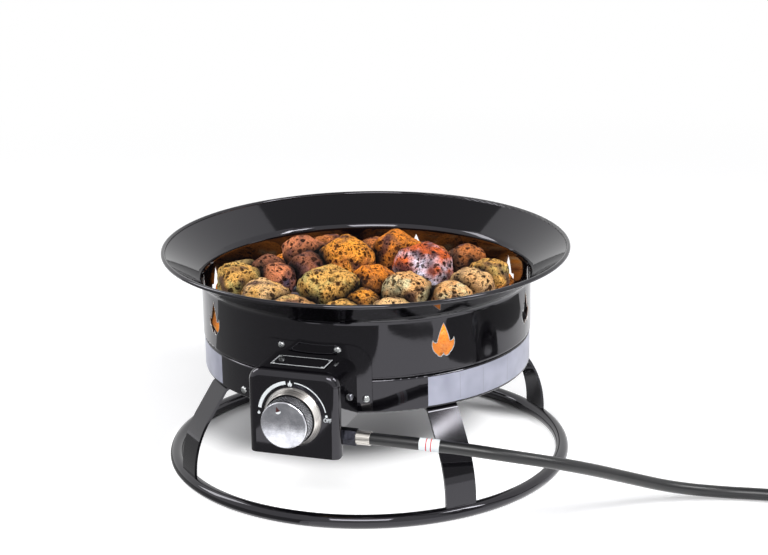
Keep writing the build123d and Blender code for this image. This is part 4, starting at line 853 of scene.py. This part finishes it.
# Bare plate on the hood: a thin silver line round its edge
plate = dict(long=64.0, deep=30.0, middle=(0, -218.675), top=187.8, margin=0.7, wide=1.5, ink=0.05)
bm = bmesh.new()
bmesh.ops.create_grid(bm, x_segments=1, y_segments=1, size=0.5)
bmesh.ops.scale(bm, verts=bm.verts, vec=((plate["long"] - 2 * plate["margin"]) * mm,
                                         (plate["deep"] - 2 * plate["margin"]) * mm, 1))
bmesh.ops.translate(bm, verts=bm.verts,
                    vec=(plate["middle"][0] * mm, plate["middle"][1] * mm, plate["top"] * mm))
plateFace = bm.faces[:]
bmesh.ops.inset_region(bm, faces=plateFace, thickness=plate["wide"] * mm, use_boundary=True,
                       use_even_offset=True)
bmesh.ops.delete(bm, geom=plateFace, context="FACES")
grown = bmesh.ops.extrude_face_region(bm, geom=bm.faces[:])
bmesh.ops.translate(bm, verts=newVerts(grown), vec=(0, 0, plate["ink"] * mm))
bmesh.ops.recalc_face_normals(bm, faces=bm.faces)
newPiece("plateLine", bm, [inks["silver"]], "fire_pit")

# Blank foil labels round the band, in panels; angles from the front, going right
labels = dict(radius=193.52, thick=0.12, low=123.6, high=157.6, margin=2.5, lineAngle=0.16, ink=0.04,
              stepAngle=0.8,
              bands=[("labelRight", 39.5, 106.0, (51.5, 61.6, 75.0)), ("labelLeft", -80.0, -41.0, (-62.0,))])
for name, start, end, joints in labels["bands"]:
    panels = [(name, labels["low"], labels["high"], start, end, 0, labels["thick"], foil)]
    panels += [("%sLine%d" % (name, place + 1), labels["low"] + labels["margin"],
                labels["high"] - labels["margin"], joint, joint + labels["lineAngle"], labels["thick"],
                labels["ink"], inks["grey"]) for place, joint in enumerate(joints)]
    for panelName, low, high, first, last, grow, thick, finish in panels:
        bm = bmesh.new()
        reach = (labels["radius"] + grow) * mm
        a = math.radians(first)
        ends = [bm.verts.new((reach * math.sin(a), -reach * math.cos(a), z * mm)) for z in (low, high)]
        edge = bm.edges.new(ends)
        bmesh.ops.spin(bm, geom=ends + [edge], cent=(0, 0, 0), axis=(0, 0, 1),
                       angle=math.radians(last - first),
                       steps=max(2, round(abs(last - first) / labels["stepAngle"])))
        bmesh.ops.recalc_face_normals(bm, faces=bm.faces)
        face = bm.faces[:][0]
        if face.normal.dot(face.calc_center_median() * Vector((1, 1, 0))) < 0:
            bmesh.ops.reverse_faces(bm, faces=bm.faces)
        bmesh.ops.solidify(bm, geom=bm.faces[:], thickness=-thick * mm)
        bmesh.ops.recalc_face_normals(bm, faces=bm.faces)
        newPiece(panelName, bm, [finish], "fire_pit")
print("plate and labels placed")


# CAD nodes that stay, with their finishes
dress(enamels["glossBlackEnamel"], "bowl", "base_pan", "base_ring", "control_hood", "hood_plate")
dress(enamels["strapBlackEnamel"], "leg_front_right", "leg_front_left", "leg_back_right", "leg_back_left")
dress(zinc, "bowl_screws", "leg_bolts", "leg_nuts", "plate_rivets", "valve_bracket")
dress(turned, "dial_bezel")
dress(drawn, "hose_ferrule", "regulator_ferrule")
dress(brushed, "knob_cap")
dress(brass, "valve_body", "valve_plug", "valve_stem", "gas_jet", "panel_nut", "regulator_nipple",
      "inlet_elbow")
dress(oxide, "inlet_nut")
dress(stained, "burner_ring", "burner_hub", "burner_arms", "burner_spacer", "burner_locknut", "burner_elbow",
      "mixer_tube")
dress(nylon, "coil_tie", "handwheel")
dress(cast, "regulator_body", "regulator_cover")
print("CAD nodes finished")


# Studio: pale floor that fades into white, soft lamps, and grey and white cards that only reflections see
studio = dict(
    floor="#dcdcde", floorHalf=30, floorDrop=0.0002, lift=0.42, fill=0.36, fade=(0.75, 2.0), aim=(0, 0, 0.15),
    # the bowl's shade inside the ring: its middle, soft edges round it and at the back, and the ring's own
    shade=dict(middle=(-0.1, 0.14, 0), edge=(0.155, 0.235), back=(0.185, 0.125), ring=(0.235, 0.26),
               bright=0.35),
    # place, size and power
    lamps=[("frontSoftbox", (0.6, -2.6, 2.4), (1.8, 1.2), 70),
           ("leftSoftbox", (-2.3, -0.2, 1.7), (0.8, 1.4), 24),
           ("rightSoftbox", (2.0, -0.35, 1.85), (0.7, 1.0), 38)],
    # centre, size, turn, corner and brightness
    cards=[("whiteCardFront", (0.46, -0.5, 0.003), (0.9, 0.9), 0.0, 0.2, 1.75),
           ("greyCardFront", (-1.05, -1.51, 0.004), (2.9, 1.78), 0.0, 0.25, 0.34),
           ("greyCardLeft", (-1.25, -0.36, 0.005), (2.5, 0.8), 0.0, 0.1, 0.34),
           ("greyCardRight", (0.76, -0.11, 0.004), (0.3, 0.38), 0.0, 0.08, 0.3),
           ("greyCardFarRight", (0.67, 0.31, 0.005), (0.6, 0.14), 2.2, 0.05, 0.2),
           ("greyCardStreak", (0.575, -0.575, 0.004), (0.4, 0.07), 0.916, 0.03, 0.35),
           ("whiteCardKnob", (-0.112, -0.52, 0.006), (0.08, 0.1), 0.0, 0.02, 1.7),
           ("greyCardAbove", (-0.4, 0.25, 2.4), (2.6, 2.0), 0.0, 0.6, 0.3)],
    # flags hung before a lamp leave a slit of it for the front leg, and one under it darkens the leg's foot:
    # place, size and brightness
    flags={"rightSoftbox": [("flagAbove", (-0.14, -0.003), (0.36, 0.35), 0.6),
                            ("flagBelow", (-0.14, -0.315), (0.36, 0.22), 0.3),
                            ("flagSide", (-0.45, -1.2), (1.0, 1.55), 0.3)]},
    flagGap=0.03, flagCorner=0.005)


def seenDirectly(tree):
    # 1 for camera, mirror and glass rays, 0 for the rays that light the object
    path = addNode(tree, "LightPath").outputs
    eye = addNode(tree, "Math", {"operation": "MAXIMUM", 0: path["Is Camera Ray"], 1: path["Is Glossy Ray"]})
    glass = path["Is Transmission Ray"]
    return addNode(tree, "Math", {"operation": "MAXIMUM", 0: eye.outputs["Value"], 1: glass}).outputs["Value"]


bm = bmesh.new()
bmesh.ops.create_grid(bm, x_segments=1, y_segments=1, size=studio["floorHalf"])
bmesh.ops.translate(bm, verts=bm.verts, vec=(0, 0, -studio["floorDrop"]))
floor = objectFrom("floor", bm)
paper, tree, shader = newFinish("paleStudioPaper", {"Base Color": srgb(studio["floor"]), "Roughness": 0.9,
                                                    "Specular IOR Level": 0.0})
seen = seenDirectly(tree)
spot = addNode(tree, "TexCoord").outputs["Object"]
shade = studio["shade"]
soft = {"interpolation_type": "SMOOTHSTEP"}
away = addNode(tree, "VectorMath", {"operation": "LENGTH", 0: spot}).outputs["Value"]
inside = addNode(tree, "MapRange", {**span(*shade["ring"]), "To Min": 1.0, "To Max": 0.0, "Value": away})
fromShade = addNode(tree, "VectorMath", {"operation": "DISTANCE", 0: spot, 1: shade["middle"]})
clear = addNode(tree, "MapRange", {**soft, **span(*shade["edge"]), "Value": fromShade.outputs["Value"]})
depth = addNode(tree, "SeparateXYZ", {"Vector": spot}).outputs["Y"]
front = addNode(tree, "MapRange", {**soft, **span(*shade["back"]), "Value": depth})
lit = addNode(tree, "Math", {"operation": "MINIMUM", 0: clear.outputs["Result"], 1: front.outputs["Result"]})
change = addNode(tree, "MapRange", {"To Min": -studio["lift"], "To Max": shade["bright"],
                                    "Value": lit.outputs["Value"]})
lift = addNode(tree, "Math", {"operation": "MULTIPLY_ADD", 0: inside.outputs["Result"],
                              1: change.outputs["Result"], 2: studio["lift"]})
shown = addNode(tree, "Math", {"operation": "MULTIPLY", 0: lift.outputs["Value"], 1: seen})
glow = addNode(tree, "Emission", {"Strength": shown.outputs["Value"]})
near = addNode(tree, "AddShader", {0: shader.outputs["BSDF"], 1: glow.outputs["Emission"]})
white = addNode(tree, "MapRange", {"To Min": studio["fill"], "Value": seen})
far = addNode(tree, "Emission", {"Strength": white.outputs["Result"]})
fade = addNode(tree, "MapRange", {**soft, **span(*studio["fade"]), "Value": away})
both = addNode(tree, "MixShader", {0: fade.outputs["Result"], 1: near.outputs["Shader"],
                                   2: far.outputs["Emission"]})
feed(tree, tree.nodes["Material Output"], {"Surface": both.outputs["Shader"]})
floor.data.materials.append(paper)


def addCard(name, stand, size, corner, level):
    bm = bmesh.new()
    bmesh.ops.create_grid(bm, x_segments=1, y_segments=1, size=0.5)
    bmesh.ops.scale(bm, verts=bm.verts, vec=(*size, 1))
    bmesh.ops.bevel(bm, geom=bm.verts[:], offset=corner, affect="VERTICES", segments=8, profile=0.5,
                    material=-1)
    bmesh.ops.transform(bm, matrix=stand, verts=bm.verts)
    card = objectFrom(name, bm)
    even, tree, shader = newFinish(name, {"Base Color": (0, 0, 0, 1), "Specular IOR Level": 0.0,
                                          "Emission Color": (1, 1, 1, 1), "Emission Strength": level})
    card.data.materials.append(even)
    card.visible_camera = card.visible_diffuse = card.visible_shadow = card.visible_transmission = False


for name, place, size, turnBy, corner, level in studio["cards"]:
    addCard(name, Matrix.Translation(place) @ Matrix.Rotation(turnBy, 4, "Z"), size, corner, level)

world = bpy.data.worlds.new("studioWorld")
scene.world = world
world.use_nodes = True
backdrop = world.node_tree.nodes["Background"]
backdrop.inputs["Color"].default_value = (1, 1, 1, 1)
tree = world.node_tree
brightness = addNode(tree, "MapRange", {"To Min": studio["fill"], "Value": seenDirectly(tree)})
feed(tree, backdrop, {"Strength": brightness.outputs["Result"]})
for name, place, size, power in studio["lamps"]:
    lamp = bpy.data.lights.new(name, "AREA")
    lamp.shape = "RECTANGLE"
    lamp.size, lamp.size_y = size
    lamp.energy = power
    holder = bpy.data.objects.new(name, lamp)
    holder.location = place
    holder.rotation_mode = "QUATERNION"
    facing = (Vector(studio["aim"]) - Vector(place)).to_track_quat("-Z", "Y")
    holder.rotation_quaternion = facing
    scene.collection.objects.link(holder)
    for flagName, flagPlace, flagSize, level in studio["flags"].get(name, []):
        stand = Matrix.Translation(place) @ facing.to_matrix().to_4x4()
        hung = Matrix.Translation((*flagPlace, -studio["flagGap"]))
        addCard(flagName, stand @ hung, flagSize, studio["flagCorner"], level)
print("studio lit")

bpy.context.view_layer.update()
